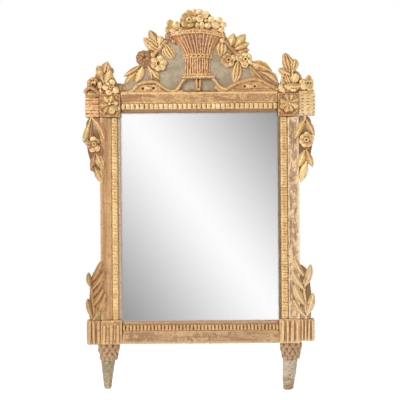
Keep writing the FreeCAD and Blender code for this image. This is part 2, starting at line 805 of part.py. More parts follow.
basket_flower_shares = (
    (-27.4, 66.4, 6.8, 5, 0.9, True), (-9.8, 72.6, 9.4, 5, 1, True), (20.4, 65.8, 7.8, 5, 0.95, False),
)
basket_bud_shares = (
    (-30.4, 60.4, 3, 0.6), (-19.4, 64.2, 3.9, 0.7), (-1.2, 78.2, 3.9, 0.8), (-1, 66.4, 3.8, 0.8),
    (1.8, 72.8, 3.6, 0.9), (6.4, 76.4, 3.9, 0.85), (4.2, 66.6, 3.4, 0.85), (9.4, 66.4, 3.8, 0.8),
    (12.2, 71.4, 3.7, 0.9), (7, 71, 3.2, 0.8), (14.8, 65, 3.2, 0.7), (-15, 62.4, 3.4, 0.6),
    (-7, 62.8, 3.6, 0.6), (1, 62.6, 3.2, 0.6), (17.4, 62, 3, 0.6), (-22.4, 60.4, 2.9, 0.55),
)

garland_left_leaf_shares = (
    (-43.1, 51.5, -49.8, 62, 6, 0.85, 2), (-39, 46.6, -38.3, 56, 7, 0.95, 2),
    (-39.6, 43.4, -55.3, 53.8, 10, 1, 3), (-35.4, 50, -23.8, 35.2, 9, 1.1, 4),
    (-57.4, 28.4, -75.3, 15.5, 5.4, 0.9, 2), (-58.4, 23, -74.8, 8.4, 5.6, 0.8, 2),
    (-54.6, 29, -62.8, 11, 6.4, 1, 2), (-51.4, 29, -39.8, 12.5, 7, 0.9, 3),
)
garland_left_flower_shares = ((-55.3, 33.5, 7.6, 7, 1.25, False), (-39.6, 28.6, 8, 8, 1.1, True))
garland_left_stem_shares = ((((-26, 54.4), (-35.8, 47.4), (-44, 40), (-50.4, 35.4)), 3.2, 0.7),)

garland_right_leaf_shares = (
    (23.2, 49, 23.2, 35.5, 10, 1, 4), (33, 44.6, 34.9, 58.4, 8, 0.9, 2), (36.6, 44.6, 46.2, 57, 8, 0.9, 2),
    (35.6, 42.6, 49.8, 47, 9, 1, 2), (39, 31, 35.2, 10.4, 8.6, 1, 4), (50, 30, 72.9, 19, 10, 1, 3),
    (54, 25.4, 71.2, 14, 7, 0.8, 2), (63.6, 17.4, 77.5, 8.6, 7, 0.8, 3),
)
garland_right_flower_shares = ((29.6, 32, 7.2, 5, 1, True), (46.6, 32.6, 7.6, 6, 1.1, True))
garland_right_bud_shares = ((23.2, 51.4, 2.6, 1), (38, 34, 4.6, 0.9), (45.9, 25.6, 3, 1))
garland_right_stem_shares = ((((24.6, 51), (31.4, 45), (38, 36)), 3.2, 0.7),)

scroll_left_path_shares = (
    (-75.8, 2.6), (-69.8, 5.5), (-61.8, 8.6), (-54.3, 10), (-47.3, 9.8), (-39.8, 6.4), (-33.8, 3.2),
    (-28.6, 2.5), (-25.6, 4.4),
)
scroll_right_path_shares = (
    (25, 3), (30.2, 3.4), (36, 6.2), (43.4, 9.6), (50.2, 11.6), (56.8, 11.8), (63, 8.8), (69.2, 5),
    (75.6, 2.6),
)
reserve_left_shares = ((-67, 0.3), (-35, 0.3), (-40.6, 5.2), (-47.4, 8.8), (-54.2, 9), (-61.4, 7.2))
reserve_right_shares = ((33, 0.3), (69, 0.3), (62.4, 7.6), (56.4, 10.6), (50.4, 10.6), (44, 8.6), (38, 5.6))
left_hole_shares = ((-55.9, 3.7), (-45.8, 4.5))
right_hole_shares = ((45.8, 4.6), (55.6, 5.2))
scroll_width_share = 4.4
reserve_rise_share = 0.45


def make_scroll(path_shares, reserve_shares, hole_shares):
    """An arched band over a plain reserve that has two drilled holes."""
    rise = size["scroll_rise"]
    path = [crest.at(x, z) for x, z in path_shares]
    arch = band(crest, path, scroll_width_share * crest.square, rise, scroll_section_shares, 3 * len(path))
    edge = [crest.at(x, z) for x, z in reserve_shares]
    reserve = polygon_face(edge).extrude(Vector(0, -rise * reserve_rise_share, 0))
    scroll = arch.fuse(reserve)
    for x, z in hole_shares:
        mouth = crest.at(x, z, rise)
        drill = Part.makeCylinder(size["hole_radius"], rise, mouth, Vector(0, 1, 0))
        scroll = scroll.cut(drill)
    return scroll


def make_crest():
    make_crest_board()
    basket = make_basket()
    stand = carve(crest, size["basket_rise"], leaves=stand_drop_shares, stems=stand_path_shares)
    shape_part("crest_basket", basket)
    shape_part("basket_stand", stand)
    flowers = carve(crest, size["flower_rise"], flowers=basket_flower_shares, buds=basket_bud_shares)
    shape_part("basket_flowers", flowers.cut(basket))
    left = carve(crest, size["leaf_rise"], garland_left_leaf_shares, garland_left_flower_shares,
                 stems=garland_left_stem_shares).cut(basket)
    right = carve(crest, size["leaf_rise"], garland_right_leaf_shares, garland_right_flower_shares,
                  garland_right_bud_shares, garland_right_stem_shares).cut(basket)
    shape_part("garland_left", left)
    shape_part("garland_right", right)
    scroll = make_scroll(scroll_left_path_shares, reserve_left_shares, left_hole_shares)
    shape_part("crest_scroll_left", scroll.cut(left).cut(stand))
    scroll = make_scroll(scroll_right_path_shares, reserve_right_shares, right_hole_shares)
    shape_part("crest_scroll_right", scroll.cut(right).cut(stand))


# Corner sprays, side drops and laurel branches. Each side has its own drawing.

corner_square = (size["moulding_width"] + size["ear_width"]) / corner_squares_across_share


def side_grid(side, z, up=1):
    return Grid(side * sight_side_x, z, corner_square, size["frame_thickness"], side, up)


spray_board_shares = {
    1: ((3, 9.8), (5, 19.8), (8, 28.8), (11, 30.8), (15, 25.8), (18, 19.8), (22, 14.8), (28, 13), (33, 8)),
    -1: ((3, 10), (7, 17.8), (10, 23.8), (13, 27), (17, 24.8), (20.6, 19.8), (23, 15.8), (28, 13.2), (31, 8)),
}
spray_board_foot_shares = (2, 33.6)
spray_leaf_shares = {
    1: (
        (12.4, 21, 8, 40.6, 9.5, 1, 3), (14.2, 15.5, 17.8, 33.6, 8.4, 0.95, 2),
        (11.4, 13.5, 2.2, 24.4, 7, 0.9, 2), (10, 8.4, 12, 23, 5.6, 0.8, 2),
        (7.2, 5.8, 20, 6.6, 7, 1, 2), (12.7, 2.4, 21, 3, 3.6, 0.75, 1),
    ),
    -1: (
        (17.2, 12, 20, 28.4, 6.6, 0.9, 2), (12, 17, 11.5, 32.8, 8.2, 1, 2),
        (11.4, 9.5, 9, 23.8, 8.6, 0.95, 3), (21, 3.6, 34.6, 3.2, 5.6, 0.85, 2),
    ),
}
spray_flower_shares = {
    1: ((30.2, 9, 7.4, 5, 0.9, True),),
    -1: ((7.6, 6.4, 6, 5, 1, False), (25, 11, 5.8, 5, 0.9, True)),
}
spray_bud_shares = {
    1: ((18.2, 14.8, 4.2, 0.85), (22.2, 8.8, 3.4, 0.7), (26.7, 13.8, 3.2, 0.8)),
    -1: ((19, 8.8, 3.8, 0.9),),
}
spray_stem_shares = {
    1: (),
    -1: ((((19.4, 4), (17.4, 11), (13, 18.6)), 3.6, 0.7),),
}

drop_board_shares = {
    1: ((33, 6), (33, 15), (34.5, 24), (33, 33), (31.5, 42), (28, 52), (24, 59)),
    -1: ((34, 6), (33.6, 15), (32.6, 24), (33, 32), (30.6, 42), (28, 52), (24, 59)),
}
drop_board_reach_share = 30
drop_board_end_share = 62
drop_leaf_shares = {
    1: (
        (26.7, 1, 17.1, 21.4, 5.6, 0.9, 2), (28.7, 3.2, 35.4, 19.2, 5.6, 0.8, 2),
        (27.4, 29.2, 20.5, 48.8, 6.2, 1, 2), (29.9, 29.2, 34.6, 47.4, 4.8, 0.8, 2),
        (28.2, 40.2, 23.4, 62.5, 7, 0.9, 2),
    ),
    -1: (
        (28.3, 1, 16.5, 21.4, 5.6, 0.9, 2), (30.3, 3, 35.4, 22, 6, 0.8, 2),
        (24.6, 31.2, 18.3, 51, 6.5, 1, 2), (26, 31.2, 29.3, 52.3, 6, 0.8, 2),
        (24.6, 43, 20.3, 63.6, 6, 0.9, 2), (28, 28.2, 35.4, 35.6, 6.4, 0.9, 2),
    ),
}
drop_flower_shares = {1: ((29, 24.6, 7.4, 5, 1, False),), -1: ((26.5, 26.2, 6.8, 5, 1, True),)}
drop_stem_shares = {
    1: ((((27.6, 0.6), (29, 18.2)), 2.6, 0.6), (((28.8, 30.2), (28.4, 44.2)), 2.6, 0.6)),
    -1: ((((28.6, 0.6), (27.6, 20.2)), 2.6, 0.6), (((25.6, 31.2), (24.8, 45.2)), 2.6, 0.6)),
}

laurel_board_shares = {
    1: ((32, 10), (32, 22), (31, 34), (29.6, 44), (26, 51)),
    -1: ((33, 10), (32, 22), (31.6, 34), (30, 43), (26, 50)),
}
laurel_board_reach_share = 31
laurel_board_end_share = 54
laurel_leaf_shares = {
    1: (
        (27.7, 11.2, 34.7, 25.2, 5.6, 1, 2), (27.4, 5.6, 15.9, 19.2, 4.8, 0.9, 2),
        (27.6, 15.2, 16.9, 32.7, 5.6, 1, 2), (27.6, 30, 15.4, 48.6, 5.2, 1, 2),
        (27.7, 34.2, 33.4, 53.2, 5.2, 0.9, 2), (26.6, 44.6, 17.5, 58, 5.2, 0.9, 2),
    ),
    -1: (
        (27.8, 5.2, 33.5, 20.5, 5.2, 0.9, 2), (27.5, 4, 18.3, 23.6, 6, 1, 2),
        (28.9, 18.6, 19.8, 31.2, 5, 0.9, 2), (29, 24, 19.3, 47.2, 6, 1, 2),
        (29.2, 31, 33, 46.5, 5.2, 0.9, 2), (27.8, 41.6, 19.8, 58, 5.6, 0.9, 2),
    ),
}
laurel_stem_shares = {
    1: ((((28.2, 1), (28.5, 19), (27.9, 34), (26.4, 47)), 2.8, 0.7),),
    -1: ((((26.8, 1.4), (28.8, 14), (29.3, 29), (27.4, 43)), 2.8, 0.7),),
}


def drop_to_wall(point):
    return Vector(point.x, 0, point.z)


def ground_board(start, points, end):
    """A board as thick as the frame, curved along its free edge and square where it meets the frame."""
    curve = Part.BSplineCurve()
    curve.interpolate([start, *points, end])
    corner = Vector(end.x, 0, start.z)
    straight = [end, start] if end.z == start.z else [end, corner, start]
    face = Part.Face(Part.Wire([curve.toShape(), *Part.makePolygon(straight).Edges]))
    return face.extrude(Vector(0, -size["frame_thickness"], 0))


def make_side_carvings(side, name):
    spray = side_grid(side, top_block_top_z)
    foot = [drop_to_wall(spray.at(across, 0)) for across in spray_board_foot_shares]
    edge = [drop_to_wall(spray.at(x, z)) for x, z in spray_board_shares[side]]
    shape_part(f"spray_backing_{name}", ground_board(foot[0], edge, foot[1]))
    carving = carve(spray, size["spray_rise"], spray_leaf_shares[side], spray_flower_shares[side],
                    spray_bud_shares[side], spray_stem_shares[side])
    shape_part(f"spray_top_{name}", carving)

    drop = side_grid(side, top_block_low_z, up=-1)
    edge = [drop_to_wall(drop.at(x, z)) for x, z in drop_board_shares[side]]
    start = drop_to_wall(drop.at(drop_board_reach_share, 0))
    end = Vector(side * stile_edge_x, 0, drop.at(0, drop_board_end_share).z)
    shape_part(f"drop_backing_{name}", ground_board(start, edge, end))
    carving = carve(drop, size["drop_rise"], drop_leaf_shares[side], drop_flower_shares[side],
                    stems=drop_stem_shares[side])
    shape_part(f"flower_drop_{name}", carving)

    laurel = side_grid(side, bottom_block_top_z)
    edge = [drop_to_wall(laurel.at(x, z)) for x, z in laurel_board_shares[side]]
    start = drop_to_wall(laurel.at(laurel_board_reach_share, 0))
    end = Vector(side * stile_edge_x, 0, laurel.at(0, laurel_board_end_share).z)
    shape_part(f"laurel_backing_{name}", ground_board(start, edge, end))
    carving = carve(laurel, size["leaf_rise"], laurel_leaf_shares[side], stems=laurel_stem_shares[side])
    shape_part(f"laurel_branch_{name}", carving)


def make_rosette(side, name, petals, hollow):
    """The rosette on the face of a top corner block."""
    centre_x = side * (sight_side_x + size["moulding_width"] / 2)
    centre_z = top_block_top_z - size["top_block_height"] / 2
    face = Grid(centre_x, centre_z, corner_square, size["block_depth"])
    outer = flower(face, face.at(0, 0), size["rosette_radius"], petals, size["rosette_rise"], hollow)
    heart_share, heart_rise_share = 0.4, 1.1
    heart = flower(face, face.at(0, 0), size["rosette_radius"] * heart_share, petals // 2 + 1,
                   size["rosette_rise"] * heart_rise_share, False)
    shape_part(f"rosette_top_{name}", outer.fuse(heart))


# Feet

# The knop's rows: share of its height, and of the way from the neck's radius to its own
knop_row_shares = (
    (0, 0.7), (0.12, 1), (0.28, 1), (0.44, 0.88), (0.6, 0.66), (0.76, 0.4), (0.9, 0.16), (1, 0),
)
knop_columns = 10


def make_knop():
    """The scaled knop over a foot, a split turning carved with lapped scales."""
    neck = size["knop_neck_radius"]
    rows = []
    for i, (down, swell) in enumerate(knop_row_shares):
        radius = neck + (size["knop_radius"] - neck) * swell
        row = []
        for j in range(knop_columns + 1):
            angle = math.pi * j / knop_columns
            scale = size["knop_scale_rise"] if (i + j) % 2 and 0 < i < len(knop_row_shares) - 1 else 0
            reach = radius + scale
            depth = 0 if j in (0, knop_columns) else -reach * math.sin(angle)
            row.append(Vector(reach * math.cos(angle), depth, -size["knop_height"] * down))
        rows.append(row)
    knop = relief(rows, 0)
    mouth = Vector(0, -size["dowel_depth"], 0)
    bore = Part.makeCylinder(size["dowel_radius"], size["knop_height"], mouth, Vector(0, 0, -1))
    part = shape_part("foot_knop_right", knop.cut(bore))
    part.Placement = Placement(Vector(foot_middle_x, 0, rail_low_z), Rotation())
    return part


def make_foot():
    """The plain tapered foot, a split turning with its flat against the wall."""
    body = new_body("foot_right")
    profile = new_sketch(body, "XZ_Plane")
    outline(profile, [
        ("0", "0"),
        ("Sizes.knop_neck_radius", "0"),
        ("Sizes.foot_tip_radius", "-Sizes.foot_height + Sizes.foot_tip_round"),
        ("Sizes.foot_tip_radius - Sizes.foot_tip_round", "-Sizes.foot_height"),
        ("0", "-Sizes.foot_height"),
    ])
    turning = body.newObject("PartDesign::Revolution", "Revolution")
    turning.Profile = profile
    turning.ReferenceAxis = (profile, ["V_Axis"])
    turning.Angle = 180
    turning.Reversed = True
    dowel = new_sketch(body, "XY_Plane")
    circle(dowel, "0", "-Sizes.dowel_depth", "Sizes.dowel_radius")
    pocket(body, dowel, "Sizes.dowel_foot_length", along_normal=False)
    body.setExpression("Placement.Base.x", foot_middle)
    body.setExpression("Placement.Base.z", f"{rail_low} - Sizes.knop_height")
    return body


def make_feet():
    mirror_copy(make_knop(), "foot_knop_left")
    mirror_copy(make_foot(), "foot_left")
    length = "Sizes.dowel_foot_length + Sizes.knop_height + Sizes.dowel_stile_length"
    low = f"{rail_low} - Sizes.knop_height - Sizes.dowel_foot_length"
    dowels = [rod("foot_dowel", f"{side} * {foot_middle}", "-Sizes.dowel_depth", low, "Sizes.dowel_radius",
                  length, upward) for side in (1, -1)]
    group("foot_dowels", dowels)


# Joinery, glass and back

def make_joint_pegs():
    pegs = []
    for side in (1, -1):
        for middle in (top_tenon_middle, bottom_tenon_middle):
            pegs.append(rod("joint_peg", f"{side} * ({sight_side} + Sizes.tenon_length / 2)", "0", middle,
                            "Sizes.peg_radius", "Sizes.peg_length", forward))
    group("joint_pegs", pegs)


def make_glass():
    """The mirror plate, which fills the rebate but for its clearance."""
    glass = doc.addObject("Part::Box", "mirror_glass")
    margin = "(Sizes.rebate_width - Sizes.glass_clearance)"
    glass.setExpression("Length", f"Sizes.sight_width + 2 * {margin}")
    glass.setExpression("Height", f"Sizes.sight_height + 2 * {margin}")
    glass.setExpression("Width", "Sizes.glass_thickness")
    glass.setExpression("Placement.Base.x", f"-{sight_side} - {margin}")
    glass.setExpression("Placement.Base.y", "-Sizes.rebate_depth")
    glass.setExpression("Placement.Base.z", f"{sight_bottom} - {margin}")
    glass.Label = "mirror_glass"
    parts.append(glass)


def make_backboards():
    """Three upright planks that fill the rebate behind the glass."""
    margin = "(Sizes.rebate_width - Sizes.glass_clearance)"
    width = f"((Sizes.sight_width + 2 * {margin} - 2 * Sizes.plank_gap) / 3)"
    for place, name in enumerate(("left", "centre", "right")):
        body = new_body(f"backboard_{name}")
        face = new_sketch(body, "XZ_Plane", plank_back)
        low = f"-{sight_side} - {margin} + {place} * ({width} + Sizes.plank_gap)"
        rectangle(face, low, f"{sight_bottom} - {margin}", f"{low} + {width}", f"{sight_top} + {margin}")
        pad(body, face, "Sizes.backboard_thickness")


def make_brads():
    """Headless brads, driven into the rebate's walls across the backs of the planks."""
    level = f"-({plank_back} - Sizes.brad_radius)"
    inside = "(Sizes.brad_length - Sizes.brad_hole_length)"
    brads = []
    for share in side_brad_shares:
        z = f"{sight_bottom} + Sizes.sight_height * {share}"
        right = f"{sight_side} + Sizes.rebate_width - {inside}"
        left = f"-({sight_side} + Sizes.rebate_width + Sizes.brad_hole_length)"
        for x in (right, left):
            brads.append(rod("side_brad", x, level, z, "Sizes.brad_radius", "Sizes.brad_length", rightward))
    for share in rail_brad_shares:
        x = f"Sizes.sight_width * {share} - {sight_side}"
        high = f"{sight_top} + Sizes.rebate_width - {inside}"
        low = f"{sight_bottom} - Sizes.rebate_width - Sizes.brad_hole_length"
        for z in (high, low):
            brads.append(rod("rail_brad", x, level, z, "Sizes.brad_radius", "Sizes.brad_length", upward))
    group("backboard_brads", brads)


def make_batten():
    """A batten let in flush across the joint between crest and rail."""
    body = new_body("crest_batten_right")
    face = new_sketch(body, "XZ_Plane")
    rectangle(face, f"{batten_middle} - Sizes.batten_width / 2", "-Sizes.batten_foot",
              f"{batten_middle} + Sizes.batten_width / 2", batten_top)
    pad(body, face, "Sizes.batten_thickness")
    for radius, depth in (
        ("Sizes.screw_radius", "Sizes.batten_thickness"),
        ("Sizes.screw_head_radius", "Sizes.screw_head_height"),
    ):
        holes = new_sketch(body, "XZ_Plane")
        for x, z in batten_screw_places():
            circle(holes, x, z, radius)
        pocket(body, holes, depth)
    return body


def make_batten_screws():
    screws = []
    for side in (1, -1):
        for x, z in batten_screw_places():
            head = rod("screw_head", f"{side} * {x}", "0", z, "Sizes.screw_head_radius",
                       "Sizes.screw_head_height", forward)
            shank = rod("screw_shank", f"{side} * {x}", "0", z, "Sizes.screw_radius",
                        "Sizes.screw_head_height + Sizes.screw_length", forward)
            screw = doc.addObject("Part::Fuse", "batten_screw")
            screw.Base = head
            screw.Tool = shank
            screws.append(screw)
    group("batten_screws", screws)


# Hanging rings

def torus(label, x, y, z, radius, bar_radius, turn):
    ring = doc.addObject("Part::Torus", label)
    ring.Placement = Placement(Vector(), turn)
    ring.setExpression("Radius1", radius)
    ring.setExpression("Radius2", bar_radius)
    for axis, value in (("x", x), ("y", y), ("z", z)):
        ring.setExpression(f"Placement.Base.{axis}", value)
    return ring


def make_hanger(side, name):
    """A screw eye in the stile's back, and the ring that swings in it."""
    x = f"{side} * {eye_middle}"
    loop = torus("eye_loop", x, "Sizes.eye_stand_off", eye_height,
                 "Sizes.eye_bore_radius + Sizes.eye_wall / 2", "Sizes.eye_wall / 2", rightward)
    reach = "(Sizes.eye_stand_off - Sizes.eye_bore_radius - Sizes.eye_wall / 2)"
    length = f"Sizes.shank_length + {reach}"
    shank = rod("eye_shank", x, reach, eye_height, "Sizes.shank_radius", length, forward)
    eye = doc.addObject("Part::Fuse", f"hanger_eye_{name}")
    eye.Base = loop
    eye.Tool = shank
    eye.Label = f"hanger_eye_{name}"
    parts.append(eye)
    seat = "(Sizes.eye_bore_radius - Sizes.ring_bar / 2 - Sizes.ring_seat_gap)"
    middle = f"{eye_height} - {seat} - Sizes.ring_radius"
    ring = torus(f"hanging_ring_{name}", x, "Sizes.eye_stand_off", middle,
                 "Sizes.ring_radius", "Sizes.ring_bar / 2", forward)
    ring.Label = f"hanging_ring_{name}"
    parts.append(ring)


# The whole mirror

stile = make_stile()
mirror_copy(stile, "stile_left")
make_rail("rail_top", sight_top, "+", top_tenon_middle, rail_top)
make_rail("rail_bottom", sight_bottom, "-", bottom_tenon_middle, rail_low)
make_joint_pegs()
make_ribbed_mouldings()
mirror_copy(make_top_block(), "corner_block_top_left")
mirror_copy(make_bottom_block(), "corner_block_bottom_left")
mirror_copy(make_top_ear(), "ear_top_left")
mirror_copy(make_bottom_ear(), "ear_bottom_left")
make_rosette(1, "right", 8, True)
make_rosette(-1, "left", 6, True)
make_feet()
make_crest()
make_side_carvings(1, "right")
make_side_carvings(-1, "left")
make_glass()
make_backboards()
make_brads()
mirror_copy(make_batten(), "crest_batten_left")
make_batten_screws()
make_hanger(1, "right")
make_hanger(-1, "left")

doc.recompute()
for item in doc.Objects:
    if "Invalid" in item.State or "Error" in item.State:
        raise RuntimeError(f"{item.Label} failed: {item.State}")
for part in parts:
    if part.Shape.isNull() or not part.Shape.isValid() or not part.Shape.Solids:
        raise RuntimeError(f"{part.Label} has no sound solid")

os.makedirs("parts", exist_ok=True)
for part in parts:
    part.Shape.exportStep(f"parts/{part.Label}.step")
print(len(parts), "pieces written")
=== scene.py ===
import math

import bpy
import numpy as np
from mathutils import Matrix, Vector, kdtree


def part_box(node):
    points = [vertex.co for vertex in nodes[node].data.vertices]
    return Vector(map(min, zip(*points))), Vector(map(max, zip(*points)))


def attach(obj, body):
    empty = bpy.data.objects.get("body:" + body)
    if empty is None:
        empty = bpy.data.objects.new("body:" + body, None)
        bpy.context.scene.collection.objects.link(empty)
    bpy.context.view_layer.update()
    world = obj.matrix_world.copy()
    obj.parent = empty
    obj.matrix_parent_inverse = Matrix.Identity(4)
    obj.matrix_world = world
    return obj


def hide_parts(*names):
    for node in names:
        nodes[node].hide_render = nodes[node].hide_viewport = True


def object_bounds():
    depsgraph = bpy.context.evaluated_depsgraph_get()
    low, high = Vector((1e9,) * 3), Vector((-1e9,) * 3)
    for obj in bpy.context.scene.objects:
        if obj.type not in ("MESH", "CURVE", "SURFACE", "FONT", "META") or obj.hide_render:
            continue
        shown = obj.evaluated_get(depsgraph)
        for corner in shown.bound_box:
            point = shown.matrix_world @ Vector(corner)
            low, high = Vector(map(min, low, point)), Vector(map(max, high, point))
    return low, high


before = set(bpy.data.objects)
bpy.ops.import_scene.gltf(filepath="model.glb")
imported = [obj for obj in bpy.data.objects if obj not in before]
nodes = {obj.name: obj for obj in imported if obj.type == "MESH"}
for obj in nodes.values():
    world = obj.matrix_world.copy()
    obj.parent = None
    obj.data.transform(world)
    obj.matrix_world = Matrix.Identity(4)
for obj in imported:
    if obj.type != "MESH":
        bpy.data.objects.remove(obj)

mm = 0.001
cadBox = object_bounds()  # the solids' own box, before anything is dressed
sides = (("left", -1), ("right", 1))


# Meshes

def newObject(name, verts, faces):
    mesh = bpy.data.meshes.new(name)
    mesh.from_pydata(np.asarray(verts, float).tolist(), [], faces)
    mesh.update()
    obj = bpy.data.objects.new(name, mesh)
    bpy.context.scene.collection.objects.link(obj)
    return obj


def dropObject(obj):
    mesh = obj.data
    bpy.data.objects.remove(obj)
    bpy.data.meshes.remove(mesh)


def applied(obj):
    graph = bpy.context.evaluated_depsgraph_get()
    mesh = bpy.data.meshes.new_from_object(obj.evaluated_get(graph))
    obj.modifiers.clear()
    old, obj.data = obj.data, mesh
    bpy.data.meshes.remove(old)
    return obj


def pointsOf(mesh, what="co"):
    flat = np.empty(len(mesh.vertices) * 3, np.float32)
    mesh.vertices.foreach_get(what, flat)
    return flat.reshape(-1, 3).astype(float)


def setPoints(mesh, points):
    mesh.vertices.foreach_set("co", points.astype(np.float32).ravel())
    mesh.update()


def solidOf(obj):
    faces = [tuple(face.vertices) for face in obj.data.polygons]
    return pointsOf(obj.data), faces


def joined(solids):
    verts, faces, first = [], [], 0
    for points, loops in solids:
        verts.append(points)
        faces += [tuple(corner + first for corner in loop) for loop in loops]
        first += len(points)
    return np.vstack(verts), faces


def cadSolid(node):  # a copy of a node's surface with its loose triangles merged
    points, faces = solidOf(nodes[node])
    grid = 0.01 * mm
    keys, index = np.unique(np.round(points / grid).astype(int), axis=0, return_inverse=True)
    index = index.ravel()
    merged = np.zeros((len(keys), 3))
    merged[index] = points
    loops = [tuple(int(index[corner]) for corner in face) for face in faces]
    return merged, [loop for loop in loops if len(set(loop)) == len(loop)]


def edgesOf(mesh):
    flat = np.empty(len(mesh.edges) * 2, np.int32)
    mesh.edges.foreach_get("vertices", flat)
    return flat.reshape(-1, 2)


def relaxed(points, edges, times, share=0.5):  # each point moves towards the mean of its neighbours
    count = len(points)
    a, b = edges[:, 0], edges[:, 1]
    degree = np.bincount(a, minlength=count) + np.bincount(b, minlength=count)
    degree = np.maximum(degree, 1)
    for _ in range(times):
        mean = np.empty_like(points)
        for axis in range(3):
            value = points[:, axis]
            total = np.bincount(a, value[b], count) + np.bincount(b, value[a], count)
            mean[:, axis] = total / degree
        points = points + (mean - points) * share
    return points


def lumps(points, size, seed):  # smooth noise between -1 and 1, one value for each point
    cells, origin = 32, 100
    table = np.random.default_rng(seed).random((cells, cells, cells)) * 2 - 1
    place = points / size + origin
    low = np.floor(place).astype(int)
    part = place - low
    part = part * part * (3 - 2 * part)
    value = np.zeros(len(points))
    for dx in (0, 1):
        for dy in (0, 1):
            for dz in (0, 1):
                weight = np.prod(np.abs(1 - np.array((dx, dy, dz)) - part), axis=1)
                cell = (low + (dx, dy, dz)) % cells
                value += weight * table[cell[:, 0], cell[:, 1], cell[:, 2]]
    return value


def skin(name, solids, voxel):  # overlapping solids become one carved skin
    obj = newObject(name, *joined(solids))
    remesh = obj.modifiers.new("Fuse", "REMESH")
    remesh.mode = "VOXEL"
    remesh.voxel_size = voxel * mm
    remesh.use_smooth_shade = True
    mesh = applied(obj).data
    setPoints(mesh, relaxed(pointsOf(mesh), edgesOf(mesh), 1))
    return obj


wearDefaults = dict(dents=0.25, dentSize=9, fine=0.1, fineSize=2.2, chips=0.0, chipSize=6)


def weather(obj, seed, **changes):  # hand-cut unevenness, dents and chipped edges
    wear = {**wearDefaults, **changes}
    mesh = obj.data
    points, edges = pointsOf(mesh), edgesOf(mesh)
    normals = pointsOf(mesh, "normal")
    move = wear["dents"] * lumps(points, wear["dentSize"] * mm, seed)
    move += wear["fine"] * lumps(points, wear["fineSize"] * mm, seed + 1)
    if wear["chips"]:
        ridge = np.einsum("ij,ij->i", points - relaxed(points, edges, 12), normals) / mm
        spots = np.clip(lumps(points, wear["chipSize"] * mm, seed + 2) * 1.6 - 0.25, 0, 1)
        move -= wear["chips"] * spots * np.clip(ridge * 1.6, 0, 1)
    setPoints(mesh, points + normals * (move * mm)[:, None])
    return markWear(obj)


def addLayer(mesh, name, values):  # a number for each point, read by the shaders
    mesh.attributes.new(name, "FLOAT", "POINT").data.foreach_set("value", np.asarray(values, np.float32))


def markTones(obj, solids, tones):  # each form keeps its own tone and warmth on the fused skin
    tree = kdtree.KDTree(sum(len(points) for points, _ in solids))
    values = []
    for (points, _), tone in zip(solids, tones):
        for point in points:
            tree.insert(point, len(values))
            values.append((tone[0], tone[1], 0.0))
    tree.balance()
    mesh = obj.data
    outward = 1.2  # mm above the skin, so the form on top is found first
    spots = pointsOf(mesh) + pointsOf(mesh, "normal") * outward * mm
    found = np.array(values)[[tree.find(spot)[1] for spot in spots]]
    found = relaxed(found, edgesOf(mesh), 2)
    addLayer(mesh, "tone", found[:, 0])
    addLayer(mesh, "warm", found[:, 1])


# the layer, how far it is smoothed, and its full height
layerReach = (("ridge", 4, 0.12), ("swell", 26, 0.9))


def markWear(obj):  # how far each point stands proud of, or lies below, its surroundings
    mesh = obj.data
    points, edges, normals = pointsOf(mesh), edgesOf(mesh), pointsOf(mesh, "normal")
    smooth = points
    for name, times, scale in layerReach:
        smooth = relaxed(smooth, edges, times)
        value = np.einsum("ij,ij->i", points - smooth, normals) / (scale * mm)
        addLayer(mesh, name, np.clip(value, -1, 1))
    return obj


# where the lip's colour ends, and how softly, in mm; on the ribbed strips it is a dark line of painted shade
# along both long edges
lipLook = dict(edge=1.4, soft=1.2, ribEdge=2.0, ribSoft=0.8)


def markLip(obj):  # 1 on the narrow lip next to the glass
    points = pointsOf(obj.data)
    low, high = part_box("ribbed_moulding_left")
    edge = lipLook["edge"] * mm
    sideEdge, topEdge = abs(high.x) - edge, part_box("ribbed_moulding_top")[0].z - edge
    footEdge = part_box("ribbed_moulding_bottom")[1].z + edge
    gap = np.maximum(np.abs(points[:, 0]) - sideEdge, np.maximum(points[:, 2] - topEdge,
        footEdge - points[:, 2]))
    addLayer(obj.data, "lip", np.clip(0.5 - gap / (lipLook["soft"] * mm), 0, 1))
    return obj


def finished(obj, material, *replaced, slot="giltwood", body="frame"):
    mesh = obj.data
    mesh.materials.clear()
    mesh.materials.append(material)
    mesh.polygons.foreach_set("use_smooth", np.ones(len(mesh.polygons), bool))
    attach(obj, body)
    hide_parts(*replaced)
    return obj


# Node trees

def fill(tree, node, values):  # links what comes from another node and sets the rest
    for name, value in values.items():
        socket = node.inputs[name]
        if isinstance(value, bpy.types.NodeSocket):
            tree.links.new(value, socket)
        else:
            socket.default_value = value


def put(tree, kind, inputs=None, out=0, **settings):  # a new node, given by one of its outputs
    node = tree.nodes.new(kind)
    for name, value in settings.items():
        setattr(node, name, value)
    fill(tree, node, inputs or {})
    return node.outputs[out]


def geometryTree(name, sockets):
    tree = bpy.data.node_groups.new(name, "GeometryNodeTree")
    tree.interface.new_socket("Geometry", in_out="OUTPUT", socket_type="NodeSocketGeometry")
    tree.interface.new_socket("Geometry", in_out="INPUT", socket_type="NodeSocketGeometry")
    for label, kind, value in sockets:
        socket = tree.interface.new_socket(label, in_out="INPUT", socket_type="NodeSocket" + kind)
        if value is not None:
            socket.default_value = value
    return tree, tree.nodes.new("NodeGroupInput").outputs


def mathOf(tree, operation, a, b=0.0):
    return put(tree, "ShaderNodeMath", {0: a, 1: b}, operation=operation)


def times(tree, a, b):
    return mathOf(tree, "MULTIPLY", a, b)


def plus(tree, a, b):
    return mathOf(tree, "ADD", a, b)


def minus(tree, a, b):
    return mathOf(tree, "SUBTRACT", a, b)


def vectorOf(tree, operation, a, b):
    return put(tree, "ShaderNodeVectorMath", {0: a, 1: b}, operation=operation)


def apart(tree, vector):  # the vector's X, Y and Z
    node = tree.nodes.new("ShaderNodeSeparateXYZ")
    tree.links.new(vector, node.inputs[0])
    return node.outputs


def placeOf(tree):
    return put(tree, "ShaderNodeTexCoord", out="Object")


